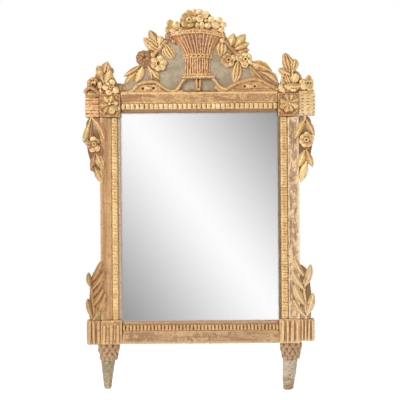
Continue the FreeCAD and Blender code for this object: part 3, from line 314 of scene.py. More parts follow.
def layerOf(tree, name):
    return put(tree, "ShaderNodeAttribute", attribute_name=name, out="Fac")


def closeTree(tree, geometry, material):
    real = put(tree, "GeometryNodeRealizeInstances", {"Geometry": geometry})
    painted = put(tree, "GeometryNodeSetMaterial", {"Geometry": real, "Material": material})
    tree.links.new(painted, tree.nodes.new("NodeGroupOutput").inputs[0])
    return tree


def placeShapes(tree, given, points):  # one shape on each point, each a little different
    def chance(low, high, later):
        seed = plus(tree, given["Seed"], later)
        return put(tree, "FunctionNodeRandomValue", {"Min": low, "Max": high, "Seed": seed},
                   data_type="FLOAT_VECTOR")

    shift, turn, spread, one = given["Shift"], given["Turn"], given["Spread"], (1, 1, 1)
    move = chance(vectorOf(tree, "MULTIPLY", shift, (-1, -1, -1)), shift, 0)
    turned = chance(vectorOf(tree, "MULTIPLY", turn, (-1, -1, -1)), turn, 1)
    size = chance(vectorOf(tree, "SUBTRACT", one, spread), vectorOf(tree, "ADD", one, spread), 2)
    return put(tree, "GeometryNodeInstanceOnPoints", {
        "Points": put(tree, "GeometryNodeSetPosition", {"Geometry": points, "Offset": move}),
        "Instance": put(tree, "GeometryNodeObjectInfo", {"Object": given["Shape"]}, out="Geometry"),
        "Rotation": put(tree, "FunctionNodeEulerToRotation", {"Euler": turned}), "Scale": size})


placing = [("Shape", "Object", None), ("Shift", "Vector", (0, 0, 0)), ("Turn", "Vector", (0, 0, 0)),
           ("Spread", "Vector", (0, 0, 0)), ("Seed", "Int", 1), ("Material", "Material", None)]


def makeRowTree():  # shapes at even steps along a line or an arc
    tree, given = geometryTree("shapesAlongLine", [
        ("Start", "Vector", (0, 0, 0)), ("Middle", "Vector", (0, 0, 0)), ("End", "Vector", (0, 0, 0)),
        ("Count", "Int", 10)] + placing)
    line = put(tree, "GeometryNodeCurveQuadraticBezier",
               {"Start": given["Start"], "Middle": given["Middle"], "End": given["End"], "Resolution": 48})
    points = put(tree, "GeometryNodeCurveToPoints", {"Curve": line, "Count": given["Count"]})
    return closeTree(tree, placeShapes(tree, given, points), given["Material"])


def makeSpotTree():  # shapes on the points that the object already has
    tree, given = geometryTree("shapesOnSpots", placing)
    points = put(tree, "GeometryNodeMeshToPoints", {"Mesh": given["Geometry"]})
    return closeTree(tree, placeShapes(tree, given, points), given["Material"])


def makeReedTree():  # upright reeds round the front of a flaring half-round basket
    tree, given = geometryTree("basketReeds", [
        ("Count", "Int", 11), ("Low", "Vector", (0, 0, 0)), ("High", "Vector", (0, 0, 1)),
        ("LowHalf", "Float", 0.03), ("HighHalf", "Float", 0.06), ("LowDepth", "Float", 0.01),
        ("HighDepth", "Float", 0.02), ("Flare", "Float", 1.5), ("Reed", "Float", 0.0015),
        ("Waver", "Float", 0.001), ("Seed", "Int", 1), ("Material", "Material", None)])
    gap = mathOf(tree, "DIVIDE", 2.0, minus(tree, given["Count"], 1))
    row = put(tree, "GeometryNodeMeshLine", {
        "Count": given["Count"], "Start Location": (-1, 0, 0),
        "Offset": put(tree, "ShaderNodeCombineXYZ", {"X": gap})})
    upright = put(tree, "GeometryNodeCurvePrimitiveLine", {"Start": (0, 0, 0), "End": (0, 0, 1)})
    upright = put(tree, "GeometryNodeResampleCurve", {"Curve": upright, "Count": 14})
    reeds = put(tree, "GeometryNodeInstanceOnPoints", {"Points": row, "Instance": upright})
    reeds = put(tree, "GeometryNodeRealizeInstances", {"Geometry": reeds})
    place = apart(tree, put(tree, "GeometryNodeInputPosition"))
    across, up = place["X"], place["Z"]
    spot = put(tree, "ShaderNodeCombineXYZ", {
        "X": times(tree, across, 9.0), "Y": times(tree, up, 1.3), "Z": given["Seed"]})
    noise = put(tree, "ShaderNodeTexNoise", {"Vector": spot, "Scale": 1.7}, out=0)
    sway = times(tree, minus(tree, noise, 0.5), given["Waver"])
    spread = mathOf(tree, "POWER", up, given["Flare"])

    def between(low, high, share):
        return put(tree, "ShaderNodeMapRange", {"Value": share, "To Min": low, "To Max": high})

    half = between(given["LowHalf"], given["HighHalf"], spread)
    depth = between(given["LowDepth"], given["HighDepth"], spread)
    low, high = apart(tree, given["Low"]), apart(tree, given["High"])
    middle = between(low["X"], high["X"], up)
    x = plus(tree, plus(tree, middle, times(tree, across, half)), sway)
    roundness = mathOf(tree, "SQRT", minus(tree, 1.02, times(tree, across, across)))
    y = minus(tree, low["Y"], times(tree, depth, roundness))
    z = between(low["Z"], high["Z"], up)
    reeds = put(tree, "GeometryNodeSetPosition", {
        "Geometry": reeds, "Position": put(tree, "ShaderNodeCombineXYZ", {"X": x, "Y": y, "Z": z})})
    section = put(tree, "GeometryNodeCurvePrimitiveCircle", {"Resolution": 8, "Radius": given["Reed"]})
    reeds = put(tree, "GeometryNodeCurveToMesh", {"Curve": reeds, "Profile Curve": section,
        "Fill Caps": True})
    return closeTree(tree, reeds, given["Material"])


def grown(tree, values, base=((0, 0, 0),)):  # runs a tree once and gives its solid
    obj = newObject(tree.name, base, [])
    modifier = obj.modifiers.new("Grow", "NODES")
    modifier.node_group = tree
    for item in tree.interface.items_tree:
        if item.in_out == "INPUT" and item.name in values:
            modifier[item.identifier] = values[item.name]
    solid = solidOf(applied(obj))
    dropObject(obj)
    return solid


rowTree, spotTree, reedTree = makeRowTree(), makeSpotTree(), makeReedTree()


def row(solid, start, end, count, middle=None, **values):  # one shape repeated along a line
    shape = newObject("shape", *solid)
    if middle is None:
        middle = [(a + b) / 2 for a, b in zip(start, end)]
    result = grown(rowTree, {"Shape": shape, "Start": tuple(start), "Middle": tuple(middle),
        "End": tuple(end), "Count": count, **values})
    dropObject(shape)
    return result


def scattered(solid, spots, **values):  # one shape repeated on the spots
    shape = newObject("shape", *solid)
    result = grown(spotTree, {"Shape": shape, **values}, spots)
    dropObject(shape)
    return result


# Solids

def pillow(size, round=0.5, middle=(0, 0, 0), rings=9, spokes=16):  # a box whose edges are rounded off
    lat = np.linspace(-math.pi / 2, math.pi / 2, rings)
    lon = np.linspace(0, 2 * math.pi, spokes, endpoint=False)

    def bent(value):
        return np.sign(value) * np.abs(value) ** round

    verts = [(bent(math.cos(a)) * bent(math.cos(b)), bent(math.cos(a)) * bent(math.sin(b)), bent(math.sin(a)))
             for a in lat[1:-1] for b in lon]
    verts = np.array(verts + [(0, 0, -1), (0, 0, 1)]) * np.array(size) / 2 + np.array(middle)
    bottom, top, last = len(verts) - 2, len(verts) - 1, (rings - 3) * spokes
    faces = []
    for i in range(spokes):
        j = (i + 1) % spokes
        faces += [(r * spokes + i, r * spokes + j, (r + 1) * spokes + j, (r + 1) * spokes + i)
                  for r in range(rings - 3)]
        faces += [(bottom, j, i), (top, last + i, last + j)]
    return verts, faces


def slab(front, back):  # a closed solid between two grids of points
    rows, columns = front.shape[:2]
    verts = np.vstack([front.reshape(-1, 3), back.reshape(-1, 3)])
    far, faces = rows * columns, []
    for i in range(rows - 1):
        for j in range(columns - 1):
            a, d = i * columns + j, (i + 1) * columns + j
            b, c = a + 1, d + 1
            faces += [(a, b, c, d), (far + d, far + c, far + b, far + a)]
    rim = [i for i in range(columns)] + [i * columns + columns - 1 for i in range(1, rows)]
    rim += [(rows - 1) * columns + j for j in range(columns - 2, -1, -1)]
    rim += [i * columns for i in range(rows - 2, 0, -1)]
    for k, a in enumerate(rim):
        b = rim[(k + 1) % len(rim)]
        faces.append((b, a, far + a, far + b))
    return verts, faces


def rayOf(toward):  # one square in the direction given, in degrees from the right, upwards
    angle = math.radians(toward)
    return np.array([math.cos(angle), -math.sin(angle)])


class Carving:  # leaves, petals, buds and stems cut in relief on a board's front
    sunk = 2.5  # how far each form reaches into its board, in mm
    uneven = 0.8  # how far the petals of a bloom differ in height, in mm

    def __init__(self, at, board, square, tone=(0.0, 0.0), seed=1):
        self.at, self.board, self.square, self.tone = at, board, square, tone
        self.solids, self.tones, self.holes = [], [], []
        self.random = np.random.default_rng(seed)

    def add(self, solid, tone=None):  # tone is from brown to pale and from olive to pink, each -1 to 1
        if tone is None:
            tone = self.random.uniform(-0.3, 0.3, 2)
        self.solids.append(solid)
        self.tones.append(np.array(tone) + self.tone)
        return self

    def near(self, tone):  # a tone a little off the one given
        return None if tone is None else np.array(tone) + self.random.uniform(-0.15, 0.15, 2)

    def leaf(self, foot, tip, wide, rise=(3, 9, 5), bend=0.0, pleats=1, depth=0.8, blunt=0.8, belly=1.0,
             edge=0.3, heel=0.35, lobes=0, cup=0.0, rows=24, tone=None):
        start, end = np.array(self.at(*foot)), np.array(self.at(*tip))
        run = end - start
        length = np.hypot(*run)
        side = np.array([-run[1], run[0]]) / length
        columns, backWidth = 25, 0.82
        t, v = np.linspace(0, 1, rows)[:, None], np.linspace(-1, 1, columns)[None, :]
        profile = np.sin(math.pi * np.clip(t, 0.001, 0.999) ** belly) ** blunt
        profile = np.maximum(profile, heel * (1 - t) ** 0.5)
        if lobes:
            profile = profile * (0.86 + 0.14 * np.abs(np.cos(math.pi * lobes * t)))
        half = wide * self.square / 2 * profile
        middle = start + t[..., None] * run + (bend * length * 4 * t * (1 - t))[..., None] * side
        lift = rise[0] * (1 - t) ** 2 + 2 * rise[1] * t * (1 - t) + rise[2] * t ** 2
        ridge = 2 / math.pi * np.arcsin(np.cos(math.pi * pleats * v)) if pleats else 0 * v
        height = lift * (1 - (1 - edge) * np.abs(v) ** 1.4 + cup * (v ** 2 - 0.5))
        height = height + depth * ridge * np.clip(profile * 1.4, 0, 1)
        front, back = np.empty((rows, columns, 3)), np.empty((rows, columns, 3))
        for grid, narrow, level in ((front, 1.0, height * mm), (back, backWidth, -self.sunk * mm)):
            flat = middle + (half * v * narrow)[..., None] * side
            grid[..., 0], grid[..., 2] = flat[..., 0], flat[..., 1]
            grid[..., 1] = self.board - level
        return self.add(slab(front, back), tone)

    # rows of foot, tip, width, rise at foot, middle and tip, pleats, depth and tone
    def leaves(self, *table):
        for foot, tip, wide, rise, pleats, depth, tone, *more in table:
            self.leaf(foot, tip, wide, rise, pleats=pleats, depth=depth, tone=tone,
                **(more[0] if more else {}))

    def flower(self, middle, petals, outer, wide, inner, turn, rise, spread, seed, tone, edge):
        rng = np.random.default_rng(seed)
        for k in range(petals):
            ray = rayOf(turn + 360 * k / petals + rng.uniform(-spread, spread))
            reach = outer * (1 + rng.uniform(-spread, spread) / 60)
            lift = tuple(value * (1 + rng.uniform(-spread, spread) / 60) for value in rise)
            self.leaf(middle + ray * inner, middle + ray * reach, wide, rise=lift, tone=self.near(tone),
                      blunt=0.5, belly=1.5, pleats=0, edge=edge)

    # petals of unlike reach, given by direction, reach, width and perhaps a tone of their own
    def bloom(self, middle, petals, rise=(5, 12, 9), eye=1.2, deep=3.0, tone=None, **more):
        base = 0.5 * sum(petal[1] for petal in petals) / len(petals)
        self.bud(middle, base, rise[1] - 3, tone=self.near(tone))
        for k, (toward, reach, wide, *own) in enumerate(petals):
            ray = rayOf(toward)
            look = {"blunt": 0.5, "belly": 1.3, "pleats": 1, "depth": -0.55, "edge": 0.66,
                "heel": 0.5, **more}
            lift = tuple(value + (k % 3 - 1) * self.uneven for value in rise)
            self.leaf(middle + ray * 1.2, middle + ray * reach, wide * 0.92, rise=lift,
                      tone=self.near(own[0] if own else tone), **look)
        return self.hole(middle, eye, deep) if eye else self

    def disc(self, middle, radius, rise, long=None, tone=None, cup=0.3):  # a flat petal with a raised rim
        return self.bud(middle, radius, rise, long, 0.0, tone, 0.42, cup)

    def petal(self, middle, toward, size, wide, **look):  # a round petal facing outward
        ray = rayOf(toward) * size / 2
        return self.leaf(middle - ray, middle + ray, wide, **look)

    def bud(self, middle, radius, rise, long=None, turn=0.0, tone=None, flat=0.8, cup=0.0):
        x, z = self.at(*middle)
        a, b = radius * self.square, (long or radius) * self.square
        verts, faces = pillow((2, 2, 2), round=0.9, rings=11, spokes=18)
        c, s = math.cos(math.radians(turn)), math.sin(math.radians(turn))
        placed = np.empty_like(verts)
        placed[:, 0] = x + verts[:, 0] * a * c - verts[:, 2] * b * s
        placed[:, 2] = z + verts[:, 0] * a * s + verts[:, 2] * b * c
        half = (rise + self.sunk) / 2 * mm
        out = np.sign(verts[:, 1]) * np.abs(verts[:, 1]) ** flat
        out += cup * np.clip(1 - verts[:, 0] ** 2 - verts[:, 2] ** 2, 0, 1) * (verts[:, 1] < 0)
        placed[:, 1] = self.board - (rise * mm - half) + out * half
        return self.add((placed, faces), tone)

    def stem(self, places, wide, rise, end=None, tone=None):  # a round bar that bends through the places
        spokes, steps = 12, 5
        spots = np.array([self.at(*place) for place in places])
        knots = np.vstack([2 * spots[0] - spots[1], spots, 2 * spots[-1] - spots[-2]])
        line = []
        for k in range(1, len(knots) - 2):
            p0, p1, p2, p3 = knots[k - 1:k + 3]
            for t in np.linspace(0, 1, steps, endpoint=False):
                line.append(0.5 * (2 * p1 + (p2 - p0) * t + (2 * p0 - 5 * p1 + 4 * p2 - p3) * t * t
                                   + (3 * p1 - p0 - 3 * p2 + p3) * t ** 3))
        line = np.array(line + [knots[-2]])
        way = np.gradient(line, axis=0)
        way /= np.maximum(np.hypot(way[:, 0], way[:, 1]), 1e-9)[:, None]
        widths = np.linspace(wide, end or wide, len(line)) * self.square / 2
        ring = np.linspace(0, 2 * math.pi, spokes, endpoint=False)
        verts = []
        for spot, run, half in zip(line, way, widths):
            tall = (rise + self.sunk) / 2 * mm
            for angle in ring:
                out = math.cos(angle) * half
                y = self.board - (rise * mm - tall) - math.sin(angle) * tall
                verts.append((spot[0] - run[1] * out, y, spot[1] + run[0] * out))
        faces = []
        for k in range(len(line) - 1):
            for i in range(spokes):
                j = (i + 1) % spokes
                faces.append((k * spokes + i, k * spokes + j, (k + 1) * spokes + j, (k + 1) * spokes + i))
        faces.append(tuple(range(spokes - 1, -1, -1)))
        faces.append(tuple(range((len(line) - 1) * spokes, len(line) * spokes)))
        return self.add((np.array(verts), faces), tone)

    # a drilled or gouged hollow, sunk once the carving is fused
    def hole(self, middle, radius, deep, tall=None):
        self.holes.append((self.at(*middle), radius * self.square, (tall or radius) * self.square, deep * mm))
        return self

    def made(self, name, voxel, seed, **wear):
        obj = skin(name, self.solids, voxel)
        markTones(obj, self.solids, self.tones)
        points = pointsOf(obj.data)
        facing = np.clip(-pointsOf(obj.data, "normal")[:, 1] * 2, 0, 1)
        for (x, z), wide, tall, deep in self.holes:
            near = np.hypot((points[:, 0] - x) / wide, (points[:, 2] - z) / tall)
            points[:, 1] += deep * np.clip(1.3 * (1 - near ** 2), 0, 1) * facing
        points[:, 1] = np.minimum(points[:, 1], self.board + self.sunk * mm)
        setPoints(obj.data, points)
        return weather(obj, seed, **wear)


# Where the drawing's squares lie on the mirror. The drawing is 400 squares wide, counted right and down.

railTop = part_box("rail_top")[1].z
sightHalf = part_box("stile_right")[0].x
drawing = dict(middle=199.8, crestSight=157, cornerSight=156, railTop=92.0, leftSight=121.3, rightSight=278.3,
               sprayFoot=93.8, sprayTall=0.955, dropHead=117.0, laurelFoot=319.2)
crestSquare = sightHalf * 2 / drawing["crestSight"]
cornerSquare = sightHalf * 2 / drawing["cornerSight"]
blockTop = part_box("corner_block_top_left")[1].z
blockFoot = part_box("corner_block_top_left")[0].z
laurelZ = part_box("corner_block_bottom_left")[1].z
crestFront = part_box("crest_board")[0].y
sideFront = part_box("spray_backing_left")[0].y


def crestAt(across, down):
    return (across - drawing["middle"]) * crestSquare, railTop + (drawing["railTop"] - down) * crestSquare


def cornerAt(level, start, tall=1.0, lean=0.0):  # both sides of the frame, measured out from the sight edge
    def at(across, down):
        across -= lean
        if across < drawing["middle"]:
            x = -sightHalf - (drawing["leftSight"] - across) * cornerSquare
        else:
            x = sightHalf + (across - drawing["rightSight"]) * cornerSquare
        return x, level + (start - down) * cornerSquare * tall
    return at


sprayAt = cornerAt(blockTop, drawing["sprayFoot"], drawing["sprayTall"], lean=0.8)
dropAt = dict(left=cornerAt(blockFoot, drawing["dropHead"]),
              right=cornerAt(blockFoot, drawing["dropHead"], lean=1.0))
laurelAt = dict(left=cornerAt(laurelZ, drawing["laurelFoot"]),
                right=cornerAt(laurelZ, drawing["laurelFoot"], lean=2.0))


def crestCut(**look):  # a carving on the crest's board
    return Carving(crestAt, crestFront, crestSquare, **look)


def sideCut(at, **look):  # a carving on a side board
    return Carving(at, sideFront, cornerSquare, **look)


carveWear = dict(dents=0.3, dentSize=6)
print("kit ready")


# Shaders

def shaderGroup(name, inputs, outputs):  # three numbers make a vector socket, four a colour
    tree = bpy.data.node_groups.new(name, "ShaderNodeTree")
    for label, value in inputs.items():
        kind = "Float" if np.isscalar(value) else {3: "Vector", 4: "Color"}[len(value)]
        socket = tree.interface.new_socket(label, in_out="INPUT", socket_type="NodeSocket" + kind)
        socket.default_value = value
    for label in outputs:
        kind = "Color" if label == "Color" else "Float"
        tree.interface.new_socket(label, in_out="OUTPUT", socket_type="NodeSocket" + kind)
    return tree, tree.nodes.new("NodeGroupInput").outputs, tree.nodes.new("NodeGroupOutput").inputs


def noiseOf(tree, vector, scale, detail, rough):
    return put(tree, "ShaderNodeTexNoise", {"Vector": vector, "Scale": scale, "Detail": detail,
        "Roughness": rough})


def ramp(tree, value, low, high, toLow=0.0, toHigh=1.0):
    return put(tree, "ShaderNodeMapRange", {"Value": value, "From Min": low, "From Max": high,
        "To Min": toLow, "To Max": toHigh}, interpolation_type="SMOOTHSTEP")


def mixed(tree, share, a, b):  # sockets 6, 7 and out 2 are the node's colours
    return put(tree, "ShaderNodeMix", {0: share, 6: a, 7: b}, out=2, data_type="RGBA")


def shifted(tree, given):  # object coordinates moved by a piece's own offset, so no two pieces match
    return vectorOf(tree, "ADD", placeOf(tree), given["Shift"])


def tint(red, green, blue):  # a colour as it is seen on a screen, from 0 to 255
    def linear(value):
        value /= 255
        return value / 12.92 if value <= 0.04045 else ((value + 0.055) / 1.055) ** 2.4
    return (linear(red), linear(green), linear(blue), 1)


giltLook = dict(Gold=(208, 160, 94), Pale=(240, 206, 146), Bole=(136, 84, 52), Tan=(172, 124, 76),
    Dirt=(78, 46, 28), Lip=(112, 68, 48), LipShare=0.0, Patch=24.0, Worn=0.1, Pink=0.3, Rub=0.7, Grime=0.85,
    Streak=(30, 30, 30), Streaks=0.3, Warm=(206, 138, 104), Olive=(166, 142, 84), Vary=1.6, metal=0.25,
    rough=0.42, bareRough=0.7, bump=0.5)


giltColors = ("Gold", "Pale", "Bole", "Tan", "Dirt", "Lip", "Warm", "Olive")


def innerOf(look):  # the values with a capital letter go into the gilt group
    return {key: tint(*value) if key in giltColors else value
            for key, value in look.items() if key[0].isupper()}


def makeGiltGroup():  # leaf over bole over gesso over wood, worn through, dirty and darkened with painted shade in the hollows, with a painted highlight on high places
    tree, given, result = shaderGroup("giltWear", {**innerOf(giltLook), "Shift": (0, 0, 0)},
                                      ("Color", "Leaf", "Height"))
    place = shifted(tree, given)
    ridge = layerOf(tree, "ridge")
    swell = layerOf(tree, "swell")
    broad = noiseOf(tree, place, given["Patch"], 5, 0.62)
    small = noiseOf(tree, place, times(tree, given["Patch"], 5.3), 4, 0.7)
    specks = noiseOf(tree, place, times(tree, given["Patch"], 19.0), 2, 0.6)
    color = mixed(tree, ramp(tree, broad, 0.42, 0.6), given["Gold"], given["Pale"])
    # streaks along the piece, then each carved form's own warmth and tone
    long = vectorOf(tree, "MULTIPLY", place, given["Streak"])
    streak = noiseOf(tree, long, 1.0, 4, 0.6)
    share = times(tree, ramp(tree, streak, 0.46, 0.6), given["Streaks"])
    color = mixed(tree, share, color, given["Tan"])
    tone = layerOf(tree, "tone")
    warm = layerOf(tree, "warm")
    hue = noiseOf(tree, place, times(tree, given["Patch"], 1.7), 3, 0.6)
    sway = times(tree, minus(tree, hue, 0.5), given["Vary"])
    warm = plus(tree, warm, sway)
    color = mixed(tree, ramp(tree, warm, 0.0, 1.0, 0.0, 0.75), color, given["Warm"])
    color = mixed(tree, ramp(tree, warm, 0.0, -1.0, 0.0, 0.75), color, given["Olive"])
    tone = plus(tree, tone, times(tree, sway, 0.3))
    color = mixed(tree, ramp(tree, tone, 0.0, 1.0, 0.0, 0.8), color, given["Pale"])
    brown = ramp(tree, tone, 0.0, -1.0, 0.0, 0.85)
    color = mixed(tree, brown, color, given["Bole"])
    # patches worn to gesso, high places rubbed pale and given a painted highlight, lower places given painted
    # shade in tan, and red bole in specks
    wornAt = plus(tree, broad, times(tree, small, 0.5))
    wornAt = plus(tree, wornAt, times(tree, given["Worn"], 0.5))
    worn = ramp(tree, wornAt, 0.86, 0.96, 0.0, 0.85)
    color = mixed(tree, worn, color, given["Tan"])
    proud = plus(tree, times(tree, swell, 0.6), times(tree, ridge, 0.6))
    rubbedAndLit = ramp(tree, plus(tree, proud, times(tree, small, 1.2)), 0.85, 1.4)
    rubbedAndLit = times(tree, rubbedAndLit, minus(tree, 1.0, brown))
    color = mixed(tree, times(tree, rubbedAndLit, given["Rub"]), color, given["Pale"])
    # painted shade: places less proud than their surroundings turn towards tan
    shade = ramp(tree, minus(tree, small, proud), 0.55, 1.1)
    color = mixed(tree, times(tree, shade, given["Grime"]), color, given["Tan"])
    redAt = times(tree, ramp(tree, small, 0.56, 0.66), given["Pink"])
    color = mixed(tree, redAt, color, given["Bole"])
    # dirt and painted shade in the hollows and creases: darker where the surface lies below its surroundings,
    # darkest in the deepest places
    low = times(tree, swell, -1.0)
    low = plus(tree, low, times(tree, minus(tree, small, 0.5), 0.9))
    dirtAndShade = times(tree, ramp(tree, low, 0.1, 0.6), given["Grime"])
    color = mixed(tree, times(tree, dirtAndShade, 0.8), color, given["Bole"])
    deep = times(tree, ramp(tree, low, 0.35, 0.9), given["Grime"])
    color = mixed(tree, times(tree, deep, 0.9), color, given["Dirt"])
    # painted shade along the creases, in the bole's colour
    creaseShade = times(tree, ramp(tree, times(tree, ridge, -1.0), 0.15, 0.9), given["Grime"])
    color = mixed(tree, times(tree, creaseShade, 0.55), color, given["Bole"])
    # the lip's own colour, which spares the tops of its beads; the dark Lip colours also paint the shade
    # along the edge next to the glass
    lip = layerOf(tree, "lip")
    keep = ramp(tree, plus(tree, ridge, times(tree, small, 0.5)), 0.25, 0.75, 1.0, 0.8)
    keep = times(tree, keep, ramp(tree, plus(tree, ridge, small), 0.2, 0.6, 0.3, 1.0))
    lip = times(tree, times(tree, lip, keep), given["LipShare"])
    color = mixed(tree, lip, color, given["Lip"])
    color = mixed(tree, ramp(tree, specks, 0.6, 0.68, 0.0, 0.45), color, given["Dirt"])
    tree.links.new(color, result["Color"])
    bare = mathOf(tree, "MAXIMUM", worn, mathOf(tree, "MAXIMUM", dirtAndShade, creaseShade))
    tree.links.new(minus(tree, 1.0, bare), result["Leaf"])
    height = plus(tree, times(tree, small, 0.7), times(tree, specks, 0.5))
    tree.links.new(minus(tree, height, times(tree, worn, 0.25)), result["Height"])
    return tree


def makeGrainGroup():  # long fibres along the piece, with darker late wood
    tree, given, result = shaderGroup("woodGrain", dict(Light=(0.5, 0.33, 0.18, 1),
        Dark=(0.25, 0.14, 0.07, 1), Stretch=(60, 60, 3), Rings=2.2, Shift=(0, 0, 0)), ("Color", "Height"))
    place = shifted(tree, given)
    long = vectorOf(tree, "MULTIPLY", place, given["Stretch"])
    sway = noiseOf(tree, long, 0.5, 2, 0.5)
    bands = noiseOf(tree, vectorOf(tree, "ADD", long, sway), given["Rings"], 3, 0.55)
    fibre = noiseOf(tree, long, 9.0, 3, 0.7)
    color = mixed(tree, ramp(tree, bands, 0.36, 0.66), given["Light"], given["Dark"])
    color = mixed(tree, ramp(tree, fibre, 0.52, 0.7, 0.0, 0.55), color, given["Dark"])
    tree.links.new(color, result["Color"])
    tree.links.new(plus(tree, times(tree, bands, 0.4), fibre), result["Height"])
    return tree


def makeDustGroup():  # grey dust on whatever faces up
    tree, given, result = shaderGroup("dust", dict(
        Color=(0.5, 0.4, 0.3, 1), Dust=(0.42, 0.37, 0.3, 1), Amount=0.4, Shift=(0, 0, 0)), ("Color",))
    normal = apart(tree, put(tree, "ShaderNodeNewGeometry", out="Normal"))
    speckle = noiseOf(tree, shifted(tree, given), 60.0, 4, 0.7)
    mask = times(tree, ramp(tree, normal["Z"], 0.35, 0.95), ramp(tree, speckle, 0.3, 0.62))
    mask = times(tree, mask, given["Amount"])
    tree.links.new(mixed(tree, mask, given["Color"], given["Dust"]), result["Color"])
    return tree


def makeBackGroup():  # bare old wood on whatever faces the wall
    tree, given, result = shaderGroup("bareBack", dict(
        Color=(0.5, 0.4, 0.3, 1), Wood=(0.35, 0.195, 0.085, 1), Dark=(0.16, 0.08, 0.035, 1), Shift=(0, 0, 0)),
        ("Color", "Front"))
    normal = apart(tree, put(tree, "ShaderNodeNewGeometry", out="Normal"))
    long = vectorOf(tree, "MULTIPLY", shifted(tree, given), (70, 70, 7))
    wood = mixed(tree, ramp(tree, noiseOf(tree, long, 1.0, 4, 0.65), 0.34, 0.66), given["Wood"],
        given["Dark"])
    front = ramp(tree, normal["Y"], 0.5, 0.8, 1.0, 0.0)
    tree.links.new(mixed(tree, front, wood, given["Color"]), result["Color"])
    tree.links.new(front, result["Front"])
    return tree


giltGroup, grainGroup = makeGiltGroup(), makeGrainGroup()
dustGroup, backGroup = makeDustGroup(), makeBackGroup()


def grouped(tree, group, values):
    node = tree.nodes.new("ShaderNodeGroup")
    node.node_tree = group
    fill(tree, node, values)
    return node.outputs


def newMaterial(name):
    material = bpy.data.materials.new(name)
    material.use_nodes = True
    return material, material.node_tree, material.node_tree.nodes["Principled BSDF"]


def bumped(tree, shader, height, strength, distance):
    bump = put(tree, "ShaderNodeBump", {"Height": height, "Strength": strength, "Distance": distance})
    tree.links.new(bump, shader.inputs["Normal"])


def giltMaterial(name, shift, **changes):
    look = {**giltLook, **changes}
    material, tree, shader = newMaterial(name)
    gilt = grouped(tree, giltGroup, {**innerOf(changes), "Shift": (shift, shift * 0.7, -shift)})
    dust = grouped(tree, dustGroup, {"Color": gilt["Color"], "Amount": 0.3, "Shift": (shift, 0, 0)})
    back = grouped(tree, backGroup, {"Color": dust["Color"], "Shift": (shift, shift, 0)})
    leaf = times(tree, gilt["Leaf"], back["Front"])
    fill(tree, shader, {"Base Color": back["Color"], "Metallic": times(tree, leaf, look["metal"]),
                        "Roughness": ramp(tree, leaf, 0.0, 1.0, look["bareRough"], look["rough"])})
    bumped(tree, shader, gilt["Height"], look["bump"], 0.4 * mm)
    return material


paintLook = dict(Paint=(186, 176, 152), Under=(150, 116, 84), Stain=(120, 104, 84), chips=0.3,
                 Bare=(150, 112, 76), scale=26.0, rough=0.72, painted=None)


def paintMaterial(name, shift, **changes):  # matt distemper, rubbed and chipped to the wood
    look = {**paintLook, **changes}
    material, tree, shader = newMaterial(name)
    place = vectorOf(tree, "ADD", placeOf(tree), (shift, -shift, shift * 0.4))
    ridge = layerOf(tree, "ridge")
    swell = layerOf(tree, "swell")
    cloud = noiseOf(tree, place, look["scale"], 5, 0.6)
    grit = noiseOf(tree, place, look["scale"] * 7, 4, 0.7)
    color = mixed(tree, ramp(tree, cloud, 0.42, 0.62, 0.0, 0.6), tint(*look["Paint"]), tint(*look["Stain"]))
    wornAt = plus(tree, grit, times(tree, mathOf(tree, "MAXIMUM", ridge, swell), 0.35))
    chips = ramp(tree, wornAt, 0.74 - look["chips"] * 0.3, 0.78 - look["chips"] * 0.3)
    color = mixed(tree, chips, color, tint(*look["Under"]))
    if look["painted"]:  # the heights between which the paint gives way to the Brown colour
        height = apart(tree, placeOf(tree))["Z"]
        color = mixed(tree, ramp(tree, height, *look["painted"]), tint(*look["Bare"]), color)
    dust = grouped(tree, dustGroup, {"Color": color, "Amount": 0.4, "Shift": (shift, 0, 0)})
    back = grouped(tree, backGroup, {"Color": dust["Color"], "Shift": (shift, shift, 0)})
    rough = ramp(tree, grit, 0.3, 0.7, look["rough"] - 0.08, look["rough"] + 0.1)
    fill(tree, shader, {"Base Color": back["Color"], "Roughness": rough})
    height = minus(tree, grit, times(tree, chips, 0.8))
    bumped(tree, shader, height, 0.4, 0.4 * mm)
    return material


def woodMaterial(name, shift, light, dark, stretch):
    material, tree, shader = newMaterial(name)
    grain = grouped(tree, grainGroup, {"Light": tint(*light), "Dark": tint(*dark), "Stretch": stretch,
                                       "Shift": (shift, shift, shift)})
    stain = ramp(tree, noiseOf(tree, placeOf(tree), 6.0, 3, 0.6), 0.45, 0.72, 0.0, 0.5)
    color = mixed(tree, stain, grain["Color"], tint(74, 54, 38))
    dust = grouped(tree, dustGroup, {"Color": color, "Amount": 0.5})
    rough = ramp(tree, grain["Height"], 0.4, 1.2, 0.66, 0.86)
    fill(tree, shader, {"Base Color": dust["Color"], "Roughness": rough})
    bumped(tree, shader, grain["Height"], 0.5, 0.3 * mm)
    return material


ironLook = dict(dark=(58, 50, 46), rust=(104, 66, 44), scale=180.0, metal=0.75)


def ironMaterial():
    material, tree, shader = newMaterial("forgedIron")
    grain = noiseOf(tree, placeOf(tree), ironLook["scale"], 5, 0.65)
    rust = ramp(tree, grain, 0.5, 0.64)
    fill(tree, shader, {"Base Color": mixed(tree, rust, tint(*ironLook["dark"]), tint(*ironLook["rust"])),
                        "Metallic": times(tree, minus(tree, 1.0, rust), ironLook["metal"]),
                        "Roughness": ramp(tree, grain, 0.35, 0.65, 0.42, 0.8)})
    bumped(tree, shader, grain, 0.5, 0.15 * mm)
    return material


plateLook = dict(silver=(0.95, 0.955, 0.95, 1), foxed=(0.6, 0.58, 0.55, 1), edge=5 * mm, speckles=900.0)


